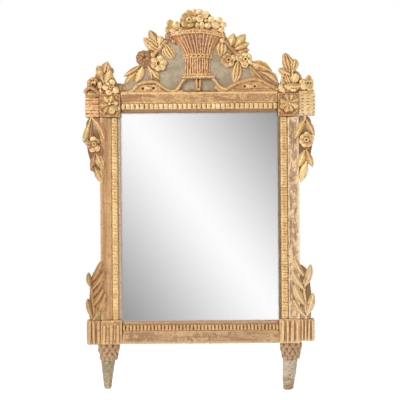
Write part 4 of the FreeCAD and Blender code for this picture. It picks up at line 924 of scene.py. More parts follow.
def plateMaterial():  # a silvered plate, a little foxed where damp crept in at the edge
    material, tree, shader = newMaterial("mirrorPlate")
    low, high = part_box("mirror_glass")
    middle, half = (low + high) / 2, (high - low) / 2
    place = apart(tree, placeOf(tree))

    def inward(axis):
        offset = mathOf(tree, "ABSOLUTE", minus(tree, place[axis], middle["XYZ".index(axis)]))
        return minus(tree, half["XYZ".index(axis)] - 7 * mm, offset)

    inset = mathOf(tree, "MINIMUM", inward("X"), inward("Z"))
    spots = noiseOf(tree, placeOf(tree), plateLook["speckles"], 4, 0.7)
    near = ramp(tree, inset, 0.0, plateLook["edge"], 1.0, 0.0)
    fox = times(tree, near, ramp(tree, spots, 0.42, 0.62))
    fill(tree, shader, {"Base Color": mixed(tree, fox, plateLook["silver"], plateLook["foxed"]),
        "Metallic": 1.0, "Roughness": ramp(tree, fox, 0.0, 1.0, 0.012, 0.3)})
    return material


giltPlain = giltMaterial("giltPlain", 0.3, Gold=(206, 158, 100), Worn=0.2, Pink=0.45)
giltLeaves = giltMaterial("giltLeaves", 1.1, Gold=(214, 168, 100), Pale=(246, 216, 158), Patch=34.0)
giltLaurel = dict(
    left=giltMaterial("giltLaurelLeft", 1.9, Gold=(176, 136, 84), Pale=(208, 168, 112), Tan=(134, 96, 62),
        Patch=30.0, Worn=0.15, Streaks=0.5),
    right=giltMaterial("giltLaurelRight", 2.9, Gold=(218, 184, 136), Pale=(240, 214, 168), Tan=(170, 128, 84),
        Patch=30.0, Worn=0.1, Streaks=0.4),
)
# Lip is the lip's own worn colour; on the right stile it is dark, partly as painted shade along the sight
# edge
giltStile = dict(
    left=giltMaterial("giltStileLeft", 2.3, Gold=(196, 154, 103), Pale=(210, 170, 118), Tan=(170, 126, 86),
        Patch=12.0, Worn=0.12, Pink=0.2, Grime=0.7, Streak=(75, 75, 3), Streaks=0.8, Lip=(184, 167, 154),
        LipShare=0.95, metal=0.12),
    right=giltMaterial("giltStileRight", 7.1, Gold=(228, 194, 148), Pale=(250, 226, 188), Tan=(156, 118, 86),
        Bole=(120, 84, 60), Patch=78.0, Worn=0.28, Pink=1.0, Grime=0.8, Streak=(150, 150, 34), Streaks=1.0,
        Lip=(70, 44, 26), LipShare=1.0, metal=0.12),
)
# the top rail gets lighter gold than the bottom one, partly as a painted reflection of the surroundings
giltRail = dict(
    top=giltMaterial("giltRailTop", 3.1, Gold=(216, 174, 116), Pale=(240, 204, 148), Tan=(170, 124, 82),
        Patch=44.0, Worn=0.36, Pink=1.0, Streak=(16, 110, 110), Streaks=1.0, Lip=(122, 86, 54), LipShare=1.0,
        metal=0.15),
    bottom=giltMaterial("giltRailBottom", 8.4, Gold=(188, 152, 108), Pale=(212, 178, 132), Tan=(150, 112, 80),
        Patch=26.0, Worn=0.24, Pink=0.6, Streak=(9, 80, 80), Streaks=0.7, Lip=(176, 138, 116), LipShare=0.8,
        metal=0.12),
)
# the top ribs get the lightest gold and the bottom ones darker, partly as a painted reflection of the
# surroundings
giltRibs = dict(
    top=giltMaterial("giltRibsTop", 3.7, Gold=(218, 176, 112), Pale=(248, 218, 162), Tan=(188, 140, 86),
        Worn=0.0, Pink=0.2, Lip=(120, 84, 56), LipShare=0.8),
    bottom=giltMaterial("giltRibsBottom", 4.4, Gold=(180, 140, 94), Pale=(222, 180, 124), Tan=(142, 102, 66),
        Bole=(110, 72, 50), Worn=0.1, Pink=0.3, Grime=1.0, Lip=(110, 76, 52), LipShare=0.7),
    left=giltMaterial("giltRibsLeft", 9.2, Gold=(212, 172, 110), Pale=(236, 202, 142), Tan=(180, 132, 80),
        Worn=0.0, Pink=0.15, Grime=0.8, Lip=(150, 106, 68), LipShare=0.7),
    right=giltMaterial("giltRibsRight", 9.9, Gold=(212, 170, 106), Pale=(238, 202, 142), Tan=(176, 128, 78),
        Worn=0.08, Pink=0.25, Grime=0.9, Lip=(104, 68, 44), LipShare=1.0),
)
giltBasket = giltMaterial("giltBasket", 4.9, Gold=(188, 136, 84), Pale=(240, 200, 152), Tan=(158, 106, 72),
    Bole=(146, 90, 66), Dirt=(116, 70, 50), Worn=0.2, Pink=0.5, Patch=30.0, Grime=0.7, Lip=(224, 182, 118),
    LipShare=0.8)
giltKnop = giltMaterial("giltKnop", 6.4, Gold=(162, 128, 92), Pale=(198, 162, 122), Tan=(136, 104, 78),
    Bole=(122, 86, 64), Dirt=(100, 68, 48), Worn=0.25, Pink=0.7, Patch=48.0, Grime=0.55, metal=0.1)
giltEar = dict(
    left=giltMaterial("giltEarLeft", 5.8, Gold=(214, 162, 112), Pale=(236, 194, 142), Tan=(190, 136, 98),
        Pink=0.4, Worn=0.15, Streak=(8, 8, 60), Streaks=0.6),
    right=giltMaterial("giltEarRight", 6.9, Gold=(230, 196, 138), Pale=(246, 222, 174), Tan=(208, 168, 120),
        Bole=(160, 122, 86), Dirt=(136, 104, 74), Pink=0.3, Worn=0.15, Grime=0.7, Streak=(8, 8, 60),
        Streaks=0.4),
)
giltBlock = giltMaterial("giltBlock", 7.7, Gold=(174, 130, 82), Pale=(204, 162, 108), Tan=(140, 98, 64),
    Worn=0.22, Pink=0.45, Patch=26.0)
giltReeds = dict(
    left=giltMaterial("giltReedsLeft", 8.8, Gold=(184, 146, 102), Pale=(224, 184, 128), Tan=(156, 116, 82),
        Bole=(138, 96, 68), Dirt=(112, 76, 52), Worn=0.15, Pink=0.45, Patch=26.0, Grime=0.75,
        Streak=(60, 60, 8), Streaks=0.5),
    right=giltMaterial("giltReedsRight", 9.3, Gold=(206, 168, 120), Pale=(234, 198, 146), Tan=(172, 132, 94),
        Bole=(148, 106, 76), Dirt=(118, 80, 56), Worn=0.15, Pink=0.45, Patch=26.0, Grime=0.7,
        Streak=(60, 60, 8), Streaks=0.5),
)
giltShade = giltMaterial("giltShade", 9.6, Gold=(150, 112, 72), Pale=(176, 136, 92), Tan=(128, 92, 62),
    Worn=0.2, Pink=0.6, metal=0.1)
dropPaint = paintMaterial("dropPaint", 2.6, Paint=(150, 142, 124), Stain=(110, 88, 66), Under=(132, 98, 68),
    Bare=(128, 92, 62), painted=(blockFoot - 46 * mm, blockFoot - 26 * mm))
laurelPaint = paintMaterial("laurelPaint", 3.4, Paint=(168, 164, 144), Stain=(132, 118, 92),
    Under=(140, 108, 76), Bare=(134, 98, 66), painted=(laurelZ + 38 * mm, laurelZ + 20 * mm))
groundPaint = paintMaterial("groundPaint", 0.4, Paint=(178, 164, 138), Stain=(140, 124, 100))
footPaint = dict(
    left=paintMaterial("footPaintLeft", 1.7, Paint=(142, 132, 110), Under=(188, 166, 128),
        Stain=(112, 102, 78), chips=0.5, scale=46.0),
    right=paintMaterial("footPaintRight", 3.9, Paint=(188, 174, 154), Under=(138, 106, 72),
        Stain=(132, 116, 74), chips=0.42, scale=26.0),
)
pineLook = (("Left", 1.3, (158, 120, 82), (112, 78, 50)), ("Centre", 2.7, (146, 108, 72), (98, 68, 44)),
            ("Right", 4.9, (164, 126, 88), (116, 84, 54)))
pineBoards = [woodMaterial("pineBoard" + name, shift, light, dark, (60, 60, 2.5))
              for name, shift, light, dark in pineLook]
pineBattens = woodMaterial("pineBattens", 4.1, (150, 112, 76), (92, 62, 40), (70, 70, 3))
pegWood = woodMaterial("pegWood", 0.8, (150, 108, 70), (88, 58, 36), (90, 20, 90))
iron = ironMaterial()
plate = plateMaterial()
print("materials ready")


# Frame: stiles, rails and their ribbed mouldings

def wornCopy(node, voxel, seed, extra=(), **wear):
    obj = skin("worn_" + node, [cadSolid(node), *extra], voxel)
    return weather(obj, seed, **wear)


beadLook = dict(period=44, reel=(4.6, 3.6, 22), bead=(4.8, 3.8, 5.6), beads=3, inset=3.6, front=19.2,
    out=0.6, end=24)
frameWear = dict(voxel=1.55, dents=0.35, dentSize=14, chips=0.9, chipSize=11)


def beadUnit(lengthwise):  # one long reel and three short beads
    reel, bead = beadLook["reel"], beadLook["bead"]
    solids = [pillow(np.array(reel) * mm, 0.8, (0, 0, 0))]
    first = reel[2] / 2 + bead[2] / 2 + 0.6
    for k in range(beadLook["beads"]):
        solids.append(pillow(np.array(bead) * mm, 0.95, (0, 0, (first + k * (bead[2] + 0.5)) * mm), 7, 10))
    verts, faces = joined(solids)
    verts[:, 2] -= (first - bead[2] / 2) / 2 * mm
    if lengthwise == "X":
        verts = verts[:, [2, 1, 0]]
        faces = [face[::-1] for face in faces]
    return verts, faces


def beadRow(start, end, lengthwise, seed):
    length = max(abs(a - b) for a, b in zip(start, end))
    count = max(2, round(length / (beadLook["period"] * mm)))
    return row(beadUnit(lengthwise), start, end, count, Shift=(0.3 * mm,) * 3,
        Spread=(0.12, 0.12, 0.05), Seed=seed)


sightTop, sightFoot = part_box("rail_top")[0].z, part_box("rail_bottom")[1].z
lipFront = -beadLook["front"] * mm - beadLook["out"] * mm
beadEnd = beadLook["end"] * mm

for name, side in sides:
    x = side * (sightHalf + beadLook["inset"] * mm)
    beads = beadRow((x, lipFront, sightTop - beadEnd), (x, lipFront, sightFoot + beadEnd), "Z", 11 + side)
    stile = wornCopy("stile_" + name, seed=20 + side, extra=[beads], **frameWear)
    finished(markLip(stile), giltStile[name], "stile_" + name)

for name, z, seed in (("top", sightTop + beadLook["inset"] * mm, 31),
        ("bottom", sightFoot - beadLook["inset"] * mm, 33)):
    beads = beadRow((-sightHalf + beadEnd, lipFront, z), (sightHalf - beadEnd, lipFront, z), "X", seed)
    rail = wornCopy("rail_" + name, seed=seed, extra=[beads], **frameWear)
    finished(markLip(rail), giltRail[name], "rail_" + name)

ribLook = dict(top=dict(pitch=11.8, wide=9.6, seed=41), bottom=dict(pitch=9.0, wide=6.2, seed=43),
               left=dict(pitch=8.2, wide=8.6, seed=45), right=dict(pitch=6.8, wide=6.9, seed=47, inward=3.4))
ribJitter = dict(Shift=(0.35 * mm,) * 3, Turn=(0.03, 0.07, 0.03), Spread=(0.1, 0.12, 0.05))


def ribbedMoulding(name):  # a back strip with one pillow of leaf for each rib
    look = ribLook[name]
    low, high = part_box("ribbed_moulding_" + name)
    upright = name in ("left", "right")
    along, over = (2, 0) if upright else (0, 2)  # the axis that the ribs follow, and the one that they cross
    middle = (low + high) / 2
    length, wide, out = high[along] - low[along], high[over] - low[over], high.y - low.y
    count = round(length / (look["pitch"] * mm))
    gap = length / count
    size, start = [0, out * 0.98, 0], [middle.x, low.y + out / 2 + 0.1 * mm, middle.z]
    size[along], size[over] = look["wide"] * mm, wide * (0.84 if upright else 1)
    rib, end = pillow(size, 0.5, (0, 0, 0), 13, 20), list(start)
    ends = (low[along] + gap / 2, high[along] - gap / 2)
    start[along], end[along] = reversed(ends) if upright else ends
    back = low.y + out * 0.36
    strip = pillow((high.x - low.x, high.y - back, high.z - low.z), 0.08,
                   (middle.x, (high.y + back) / 2, middle.z))
    ribs = row(rib, start, end, count, Seed=look["seed"], **ribJitter)
    obj = skin("ribs_" + name, [strip, ribs], 0.95)
    weather(obj, look["seed"], dents=0.3, dentSize=5, fine=0.15)
    points = pointsOf(obj.data)
    # both long edges of the strip take the lip layer, so the dark Lip colour lies there as a line of painted
    # shade
    inset = wide / 2 - np.abs(points[:, over] - middle[over])
    addLayer(obj.data, "lip", np.clip((lipLook["ribEdge"] * mm - inset) / (lipLook["ribSoft"] * mm), 0, 1))
    points[:, 0] = high.x - (high.x - points[:, 0]) * (1 + look.get("inward", 0) * mm / (high.x - low.x))
    setPoints(obj.data, points)
    return finished(obj, giltRibs[name], "ribbed_moulding_" + name)


for name in ribLook:
    ribbedMoulding(name)
print("frame ready")


# Corner blocks, ears, knops and feet

reedDepth = 4.5 * mm
bottomReeds = dict(  # how many reeds, how much lower each piece reaches in mm, and how its reeds are cut
    left=dict(count=3, corner_block=(0, dict(span=(0.0, 0.98), share=0.42, short=9.0)), ear=(6, {})),
    right=dict(count=4, corner_block=(0, dict(share=0.55)), ear=(0, {})),
)


# upright round reeds on a front
def reedRow(low, high, count, seed, span=(0.03, 0.97), share=0.62, short=0.0):
    length = high.x - low.x
    pitch = length * (span[1] - span[0]) / count
    size = (pitch * share, reedDepth * 2, (high.z - low.z) * 0.94 - short * mm)
    y, z = low.y + reedDepth - 1.0 * mm, (low.z + high.z) / 2 - short / 2 * mm
    first, last = span[0] * length + pitch / 2, span[1] * length - pitch / 2
    return row(pillow(size, 0.45, (0, 0, 0), 15, 18), (low.x + first, y, z), (low.x + last, y, z), count,
        Seed=seed, Shift=(0.5 * mm, 0.4 * mm, 0.6 * mm), Turn=(0.02, 0.035, 0.02), Spread=(0.13, 0.1, 0.03))


# the node's own block, set back to leave room for what is carved on it
def backing(node, front, grow=(0, 0)):
    low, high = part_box(node)
    high.x += grow[0] * mm
    low.z -= grow[1] * mm
    middle = (low + high) / 2
    size = (high.x - low.x, high.y - low.y - front * mm, high.z - low.z)
    return pillow(size, 0.1, (middle.x, middle.y + front / 2 * mm, middle.z), 17, 32)


scaleLook = dict(rows=4, each=9, size=(12.5, 11, 17), inset=0.8, seed=61)


def scales(node):  # rounded scales set round a knop, each row half a step on
    low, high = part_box(node)
    middle = (low + high) / 2
    points, _ = cadSolid(node)
    rows, each, spots = scaleLook["rows"], scaleLook["each"], []
    for r in range(rows):
        z = high.z - (r + 0.55) / rows * (high.z - low.z) * 0.96
        ring = points[np.abs(points[:, 2] - z) < 5 * mm]
        half = (ring.max(0) - ring.min(0)) / 2 * scaleLook["inset"]
        for k in range(each):
            angle = 2 * math.pi * (k + 0.5 * (r % 2)) / each
            spots.append((middle.x + half[0] * math.cos(angle), middle.y + half[1] * math.sin(angle), z))
    scale = pillow(np.array(scaleLook["size"]) * mm, 0.9, (0, 0, 0), 9, 12)
    return scattered(scale, spots, Turn=(0.1, 0.1, 0.1), Spread=(0.1, 0.1, 0.12), Seed=scaleLook["seed"])


# how far each knop and foot was knocked aside, how wide it is at its top and foot, and how much longer it is
footSet = dict(
    middle=222,
    left=dict(knop=((-4.5, -4.5), (1.0, 1.0), 0), foot=((-7.0, -9.0), (1.14, 1.04), 2.0)),
    right=dict(knop=((-0.5, -0.5), (1.0, 1.0), 0), foot=((-1.5, -8.6), (1.12, 1.5), 7.0)),
)


def moved(obj, side, how):
    (shiftTop, shiftFoot), (wideTop, wideFoot), longer = how
    points = pointsOf(obj.data)
    down = np.interp(points[:, 2], (points[:, 2].min(), points[:, 2].max()), (1, 0))
    middle = side * footSet["middle"] * mm
    points[:, 0] = middle + (points[:, 0] - middle) * (wideTop + (wideFoot - wideTop) * down)
    points[:, 0] += (shiftTop + (shiftFoot - shiftTop) * down) * mm
    points[:, 2] -= longer * down * mm
    setPoints(obj.data, points)


for name, side in sides:
    cutting = bottomReeds[name]
    for part, seed in (("corner_block", 51), ("ear", 55)):
        node = f"{part}_bottom_{name}"
        low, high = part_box(node)
        longer, cuts = cutting[part]
        low.z -= longer * mm
        solids = [backing(node, 3.0, (0, longer)), reedRow(low, high, cutting["count"], seed + side, **cuts)]
        reeded = weather(skin("reeded_" + node, solids, 1.0), seed + side, dents=0.4, chips=0.8)
        finished(reeded, giltReeds[name], node)
    node = "foot_knop_" + name
    knop = wornCopy(node, 0.8, 63 + side, [scales(node)], dents=0.3, dentSize=5, chips=0.5)
    moved(knop, side, footSet[name]["knop"])
    finished(knop, giltKnop, node)
    foot = wornCopy("foot_" + name, 0.9, 65 + side, dents=0.5, dentSize=10, chips=1.2, chipSize=8)
    moved(foot, side, footSet[name]["foot"])
    finished(foot, footPaint[name], "foot_" + name, slot="painted_foot")


blockMiddle = dict(left=(111.1, 107.0), right=(290.8, 104.0))
blockLook = dict(left=(101.0, 96.4), right=(280.6, 93.2), wide=20.3, tall=21.6, sunk=2.2, corner=0.12,
    reach=0.72)


def blockAt(side):  # squares of the drawing over a top corner block, from the block's own middle
    low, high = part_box("corner_block_top_" + side)
    x, z, (across, down) = (low.x + high.x) / 2, (low.z + high.z) / 2, blockMiddle[side]

    def at(right, below):
        return x + (right - across) * cornerSquare, z + (down - below) * cornerSquare
    return at


def topBlock(name):
    node = "corner_block_top_" + name
    low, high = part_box(node)
    cut = Carving(blockAt(name), low.y + blockLook["sunk"] * mm, cornerSquare)
    cut.add(backing(node, blockLook["sunk"]), (0, 0))
    left, top = blockLook[name]
    wide, tall, near, reach = (blockLook[key] for key in ("wide", "tall", "corner", "reach"))
    for u, v in ((near, near), (1 - near, near), (near, 1 - near), (1 - near, 1 - near)):
        spot = (left + u * wide, top + v * tall)
        inward = (left + (0.5 + (u - 0.5) * reach) * wide, top + (0.5 + (v - 0.5) * reach) * tall)
        cut.leaf(spot, inward, 5.0, rise=(2.4, 3.4, 1.6), pleats=2, depth=0.5, heel=0.8, blunt=0.6)
    cut.hole((left + wide / 2, top + tall / 2), 11.0, 4.2)
    obj = cut.made("carved_" + node, 0.95, 70, dents=0.5, dentSize=7, chips=0.8)
    finished(obj, giltBlock, node)


def topEarLeft():  # seven wavering reeds laid across
    node = "ear_top_left"
    low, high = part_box(node)
    cuts = row(pillow(((high.x - low.x) * 0.98, 8 * mm, 7.6 * mm), 0.5, (0, 0, 0), 15, 20),
               ((low.x + high.x) / 2, low.y + 3.6 * mm, low.z + 4.2 * mm),
               ((low.x + high.x) / 2, low.y + 3.6 * mm, high.z - 4.2 * mm), 7, Seed=59,
               Shift=(0.3 * mm, 0.5 * mm, 0.7 * mm), Turn=(0.03, 0.07, 0.02), Spread=(0.03, 0.1, 0.16))
    obj = skin("reeded_" + node, [backing(node, 2.6), cuts], 0.9)
    finished(weather(obj, 59, dents=0.6, dentSize=7, chips=0.9), giltEar["left"], node)


def topEarRight():  # a plain face with two columns of short gouged slots and a nicked edge
    node = "ear_top_right"
    low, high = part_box(node)
    cut = Carving(blockAt("right"), low.y + 1.2 * mm, cornerSquare)
    cut.add(backing(node, 0.4, (4.5, 0)), (0, 0))
    slots = dict(columns=((304.9, 1.9), (310.9, 2.5)), first=95.6, step=2.9, count=7)
    nicks = dict(foot=(303.4, 115.0), footStep=3.0, side=(316.4, 96.5), sideStep=3.8, count=5)
    rng = np.random.default_rng(60)
    for across, half in slots["columns"]:
        for k in range(slots["count"]):
            nudge = rng.uniform(-0.4, 0.4, 2)
            cut.hole((across + nudge[0], slots["first"] + k * slots["step"] + nudge[1]),
                half * rng.uniform(0.7, 1.15), rng.uniform(0.8, 1.8), tall=0.85)
    (footAcross, footDown), (sideAcross, sideDown) = nicks["foot"], nicks["side"]
    for k in range(nicks["count"]):
        cut.hole((footAcross + k * nicks["footStep"], footDown), 0.8, rng.uniform(1, 3), tall=1.5)
        cut.hole((sideAcross, sideDown + k * nicks["sideStep"]), 1.3, rng.uniform(1, 3), tall=0.9)
    obj = cut.made("slotted_" + node, 0.8, 60, dents=0.6, dentSize=6, chips=1.2)
    finished(obj, giltEar["right"], node)


def rosetteLeft():
    cut = Carving(blockAt("left"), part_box("corner_block_top_left")[0].y + 2.5 * mm, cornerSquare)
    cut.bud((111, 106), 6.5, 2.5, tone=(-0.5, 0.2))
    cut.leaves(
        ((111.5, 104.5), (113.6, 97.4), 5.6, (5, 10, 6), 1, 0.8, (0.4, 0), dict(blunt=0.5, belly=1.2)),
        ((112.5, 105.2), (119.6, 104.8), 5, (5, 10, 6), 1, 0.8, (0.2, 0.1), dict(blunt=0.5, belly=1.2)),
        ((110, 104.8), (105.6, 98.2), 5.4, (5, 9, 5), 1, 0.6, (0.1, -0.2), dict(blunt=0.5, belly=1.2)),
        ((109.8, 106.5), (101.6, 107), 6, (5, 9.5, 6), 0, 0, (-0.3, 0.3), dict(blunt=0.5, belly=1.3)))
    cut.bud((113.5, 111.4), 3.6, 10.5, long=4.2, turn=-10, tone=(0.0, -0.5))
    cut.leaves(
        ((109.5, 108), (105.2, 114.2), 4.5, (3, 6, 4), 1, 0.5, None, dict(blunt=0.6)),
        ((113, 107.5), (118.6, 112.6), 4.4, (4, 8, 5), 1, 0.6, (0.1, 0.4), dict(blunt=0.6)))
    cut.bud((111, 105.6), 1.5, 8.5)
    return cut.made("carved_rosette_left", 0.75, 74, dents=0.3)


def rosetteRight():
    cut = Carving(blockAt("right"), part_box("corner_block_top_right")[0].y + 2.5 * mm, cornerSquare)
    cut.bud((291.2, 102.9), 6.0, 2.5, tone=(-0.4, 0))
    cut.bloom((291.4, 103.1), ((68, 9.4, 7.2), (112, 9.6, 7.0), (158, 10.0, 7.0), (204, 10.0, 7.2),
        (250, 9.4, 6.8), (292, 8.6, 6.4), (24, 10.0, 7.4)), rise=(4, 10, 8), eye=0, edge=0.25, pleats=1,
        depth=0.6, tone=(-0.25, -0.35))
    cut.leaves(((291.8, 103.2), (300.4, 106.6), 7.4, (5, 11, 9), 0, 0, (0.4, 0.4),
        dict(blunt=0.5, belly=1.3)))
    cut.bud((291.6, 103.1), 1.2, 9)
    return cut.made("carved_rosette_right", 0.75, 75, dents=0.3)


for name, side in sides:
    topBlock(name)
topEarLeft()
topEarRight()
for make, name in ((rosetteLeft, "left"), (rosetteRight, "right")):
    finished(make(), giltLeaves, "rosette_top_" + name)
print("blocks ready")


# Boards that carry the carvings

def plank(corners, front, back):  # a flat board with the outline given, in squares of the drawing
    spots = np.array([crestAt(*corner) for corner in corners])
    count = len(spots)
    verts = np.vstack([np.column_stack([spots[:, 0], np.full(count, y), spots[:, 1]]) for y in (front, back)])
    faces = [tuple(range(count)), tuple(range(2 * count - 1, count - 1, -1))]
    faces += [(k, k + count, (k + 1) % count + count, (k + 1) % count) for k in range(count)]
    return verts, faces


crestEnds = dict(left=((116.4, 93.8), (123.5, 93.8), (124.5, 84.6), (121.0, 82.4), (116.4, 83.6)),
                 right=((275.0, 93.8), (284.0, 93.8), (283.0, 84.6), (275.0, 82.6)))
wings = [plank(corners, crestFront - 4 * mm, -4 * mm) for corners in crestEnds.values()]
board = wornCopy("crest_board", 1.8, 80, wings, dents=0.4, dentSize=16, chips=0.6)
finished(board, groundPaint, "crest_board", slot="painted_ground")
backingLook = dict(spray=giltShade, drop=dropPaint, laurel=laurelPaint)
for k, part in enumerate(backingLook):
    for name, side in sides:
        node = f"{part}_backing_{name}"
        obj = wornCopy(node, 1.5, 82 + 2 * k + (side > 0), dents=0.4, dentSize=12, chips=0.6)
        finished(obj, backingLook[part], node, slot="painted_ground")
print("boards ready")


# Crest basket

basketLook = dict(
    rim=dict(middle=196.2, half=28.0, top=30.0, foot=34.8, depth=20.5, sag=3.4),
    flare=dict(low=(199.0, 54.5), high=(196.8, 33.0), lowHalf=13.6, highHalf=25.6, lowDepth=12.5,
        highDepth=18.0, power=1.25, count=13),
    waist=dict(middle=198.7, half=13.4, top=53.6, foot=58.8, depth=14.5, sag=0.4),
    body=dict(low=(198.5, 73.8), high=(198.5, 58.0), half=11.9, depth=12.8, count=11),
    base=dict(middle=199.2, half=14.0, top=73.2, foot=76.6, depth=14.5, sag=0.3),
)


def basketBody(levels, board):  # a half-round core behind the reeds, level by level
    arc = np.linspace(0, math.pi, 25)
    front = np.array([[(crestAt(middle, down)[0] + math.cos(a) * half * crestSquare,
                        board - math.sin(a) * depth * mm,
                        crestAt(middle, down)[1] - math.cos(a) ** 2 * sag * crestSquare) for a in arc]
                      for middle, half, depth, down, sag in levels])
    back = front.copy()
    back[..., 1] = board + 2 * mm
    return slab(front, back)


def wovenBand(look, size, count, seed, tilt=0.35):  # slanted strands bound round the basket
    left, level = crestAt(look["middle"] - look["half"] * 0.96, (look["top"] + look["foot"]) / 2)
    right, _ = crestAt(look["middle"] + look["half"] * 0.96, 0)
    strand = pillow(np.array(size) * mm, 0.75, (0, 0, 0), 9, 12)
    c, s = math.cos(tilt), math.sin(tilt)
    x, y, z = strand[0].T
    verts = np.column_stack([x * c - z * s, y, x * s + z * c])
    droop = look["sag"] * crestSquare
    middle = ((left + right) / 2, crestFront - look["depth"] * 1.9 * mm, level + droop)
    y = crestFront - 1 * mm
    return row((verts, strand[1]), (left, y, level - droop), (right, y, level - droop), count, middle,
        Shift=(0.6 * mm, 0.5 * mm, 0.6 * mm), Turn=(0.1, 0.25, 0.1), Spread=(0.16, 0.15, 0.2), Seed=seed)


def reeds(low, high, lowHalf, highHalf, lowDepth, highDepth, power, count, radius, seed):
    lowX, lowZ = crestAt(*low)
    highX, highZ = crestAt(*high)
    return grown(reedTree, {
        "Count": count, "Low": (lowX, crestFront, lowZ), "High": (highX, crestFront, highZ),
        "LowHalf": lowHalf * crestSquare, "HighHalf": highHalf * crestSquare, "LowDepth": lowDepth * mm,
        "HighDepth": highDepth * mm, "Flare": power, "Reed": radius * mm, "Waver": 4.2 * mm, "Seed": seed})


def makeBasket():
    rim, flare, waist, body, base = (basketLook[key] for key in ("rim", "flare", "waist", "body", "base"))
    levels = [(rim["middle"], rim["half"], rim["depth"], rim["top"] + 0.8, rim["sag"]),
              (rim["middle"], rim["half"], rim["depth"], rim["foot"] - 0.6, rim["sag"])]
    for t in np.linspace(1, 0, 8):
        part = t ** flare["power"]
        middle = flare["low"][0] + (flare["high"][0] - flare["low"][0]) * t
        half = flare["lowHalf"] + (flare["highHalf"] - flare["lowHalf"]) * part
        depth = flare["lowDepth"] + (flare["highDepth"] - flare["lowDepth"]) * part
        down = flare["low"][1] + (flare["high"][1] + 1.6 - flare["low"][1]) * t
        levels.append((middle, half, depth - 1.3, down, rim["sag"] * part))
    levels += [(body["low"][0], body["half"], body["depth"] - 1.2, down, 0.0) for down in (59, 73)]
    levels += [(base["middle"], base["half"], base["depth"] - 1.5, base[key], 0.2) for key in ("top", "foot")]
    solids = [basketBody(levels, crestFront)]
    solids.append(reeds(flare["low"], flare["high"], flare["lowHalf"], flare["highHalf"], flare["lowDepth"],
                        flare["highDepth"], flare["power"], flare["count"], 1.7, 5))
    solids.append(reeds(body["low"], body["high"], body["half"], body["half"], body["depth"], body["depth"],
                        1.0, body["count"], 2.3, 6))
    for k, offset in enumerate((-1.0, 1.3)):
        band = dict(rim, top=rim["top"] + offset, foot=rim["foot"] + offset)
        solids.append(wovenBand(band, (10.5, 7, 5.2), 18, 91 + k * 7, tilt=0.3 - 0.55 * k))
    for k, offset in enumerate((-1.1, 1.3)):
        band = dict(waist, top=waist["top"] + offset, foot=waist["foot"] + offset)
        solids.append(wovenBand(band, (11, 6.5, 5.2), 8, 92 + k * 5, tilt=-0.22 + 0.4 * k))
    solids.append(wovenBand(base, (10, 6, 6), 9, 93, tilt=0.2))
    ends = crestCut()
    ends.leaves(
        ((169.4, 31.4), (173.4, 42.6), 6.6, (9, 12, 4), 2, 0.8, (-0.7, 0.3), dict(blunt=0.6)),
        ((172.6, 32.6), (180, 42.4), 6, (9, 11, 4), 1, 0.8, (-0.4, 0.5), dict(blunt=0.6)))
    ends.bud((168.6, 36.4), 2.6, 10, long=3.4, tone=(-0.6, 0.2)).bud((174.6, 41.4), 2.4, 9, tone=(-0.5, 0.6))
    ends.leaves(((222.6, 30.6), (225.6, 40), 5.6, (8, 10, 4), 2, 0.6, (-0.2, 0.4), dict(blunt=0.6)))
    obj = skin("woven_basket", solids + ends.solids, 0.85)
    markTones(obj, solids + ends.solids, [(0, 0)] * len(solids) + ends.tones)
    weather(obj, 90, dents=0.45, dentSize=6, chips=0.5)
    down = drawing["railTop"] - (pointsOf(obj.data)[:, 2] - railTop) / crestSquare
    across = pointsOf(obj.data)[:, 0] / crestSquare + drawing["middle"]
    arch = rim["sag"] * ((across - rim["middle"]) / rim["half"]) ** 2
    share = np.clip(rim["foot"] + 0.6 + arch - down, 0, 1) * np.clip((across - 176) / 6, 0, 1)
    share = np.maximum(share, np.clip(3.0 - np.abs(down - 56.3), 0, 1))
    share = np.maximum(share, np.clip(down - 72.6, 0, 1))
    addLayer(obj.data, "lip", share)
    return obj


finished(makeBasket(), giltBasket, "crest_basket")


def makeStand():
    cut = crestCut()
    cut.stem([(183, 77.8), (199.5, 77.2), (215.6, 77.4)], 3.6, 15.5)
    cut.stem([(186, 78.4), (182.6, 82.5), (180, 87), (176.8, 90.4), (172.5, 91.4)], 4.0, 12, end=3.0)
    cut.stem([(213, 78), (216.6, 82), (219.4, 86), (223.5, 88.8), (228.5, 90)], 4.0, 12, end=3.0)
    cut.leaves(
        ((197.4, 79.4), (197.8, 91.2), 4, (8, 12, 9), 0, 0, None, dict(blunt=0.5)),
        ((201.2, 79.4), (200.4, 90.6), 3.6, (8, 12, 9), 0, 0, None, dict(blunt=0.5)))
    cut.bud((199.3, 89.6), 2.2, 9, long=1.6)
    return cut.made("carved_basket_stand", 0.85, 95, dents=0.3)


finished(makeStand(), giltPlain, "basket_stand")


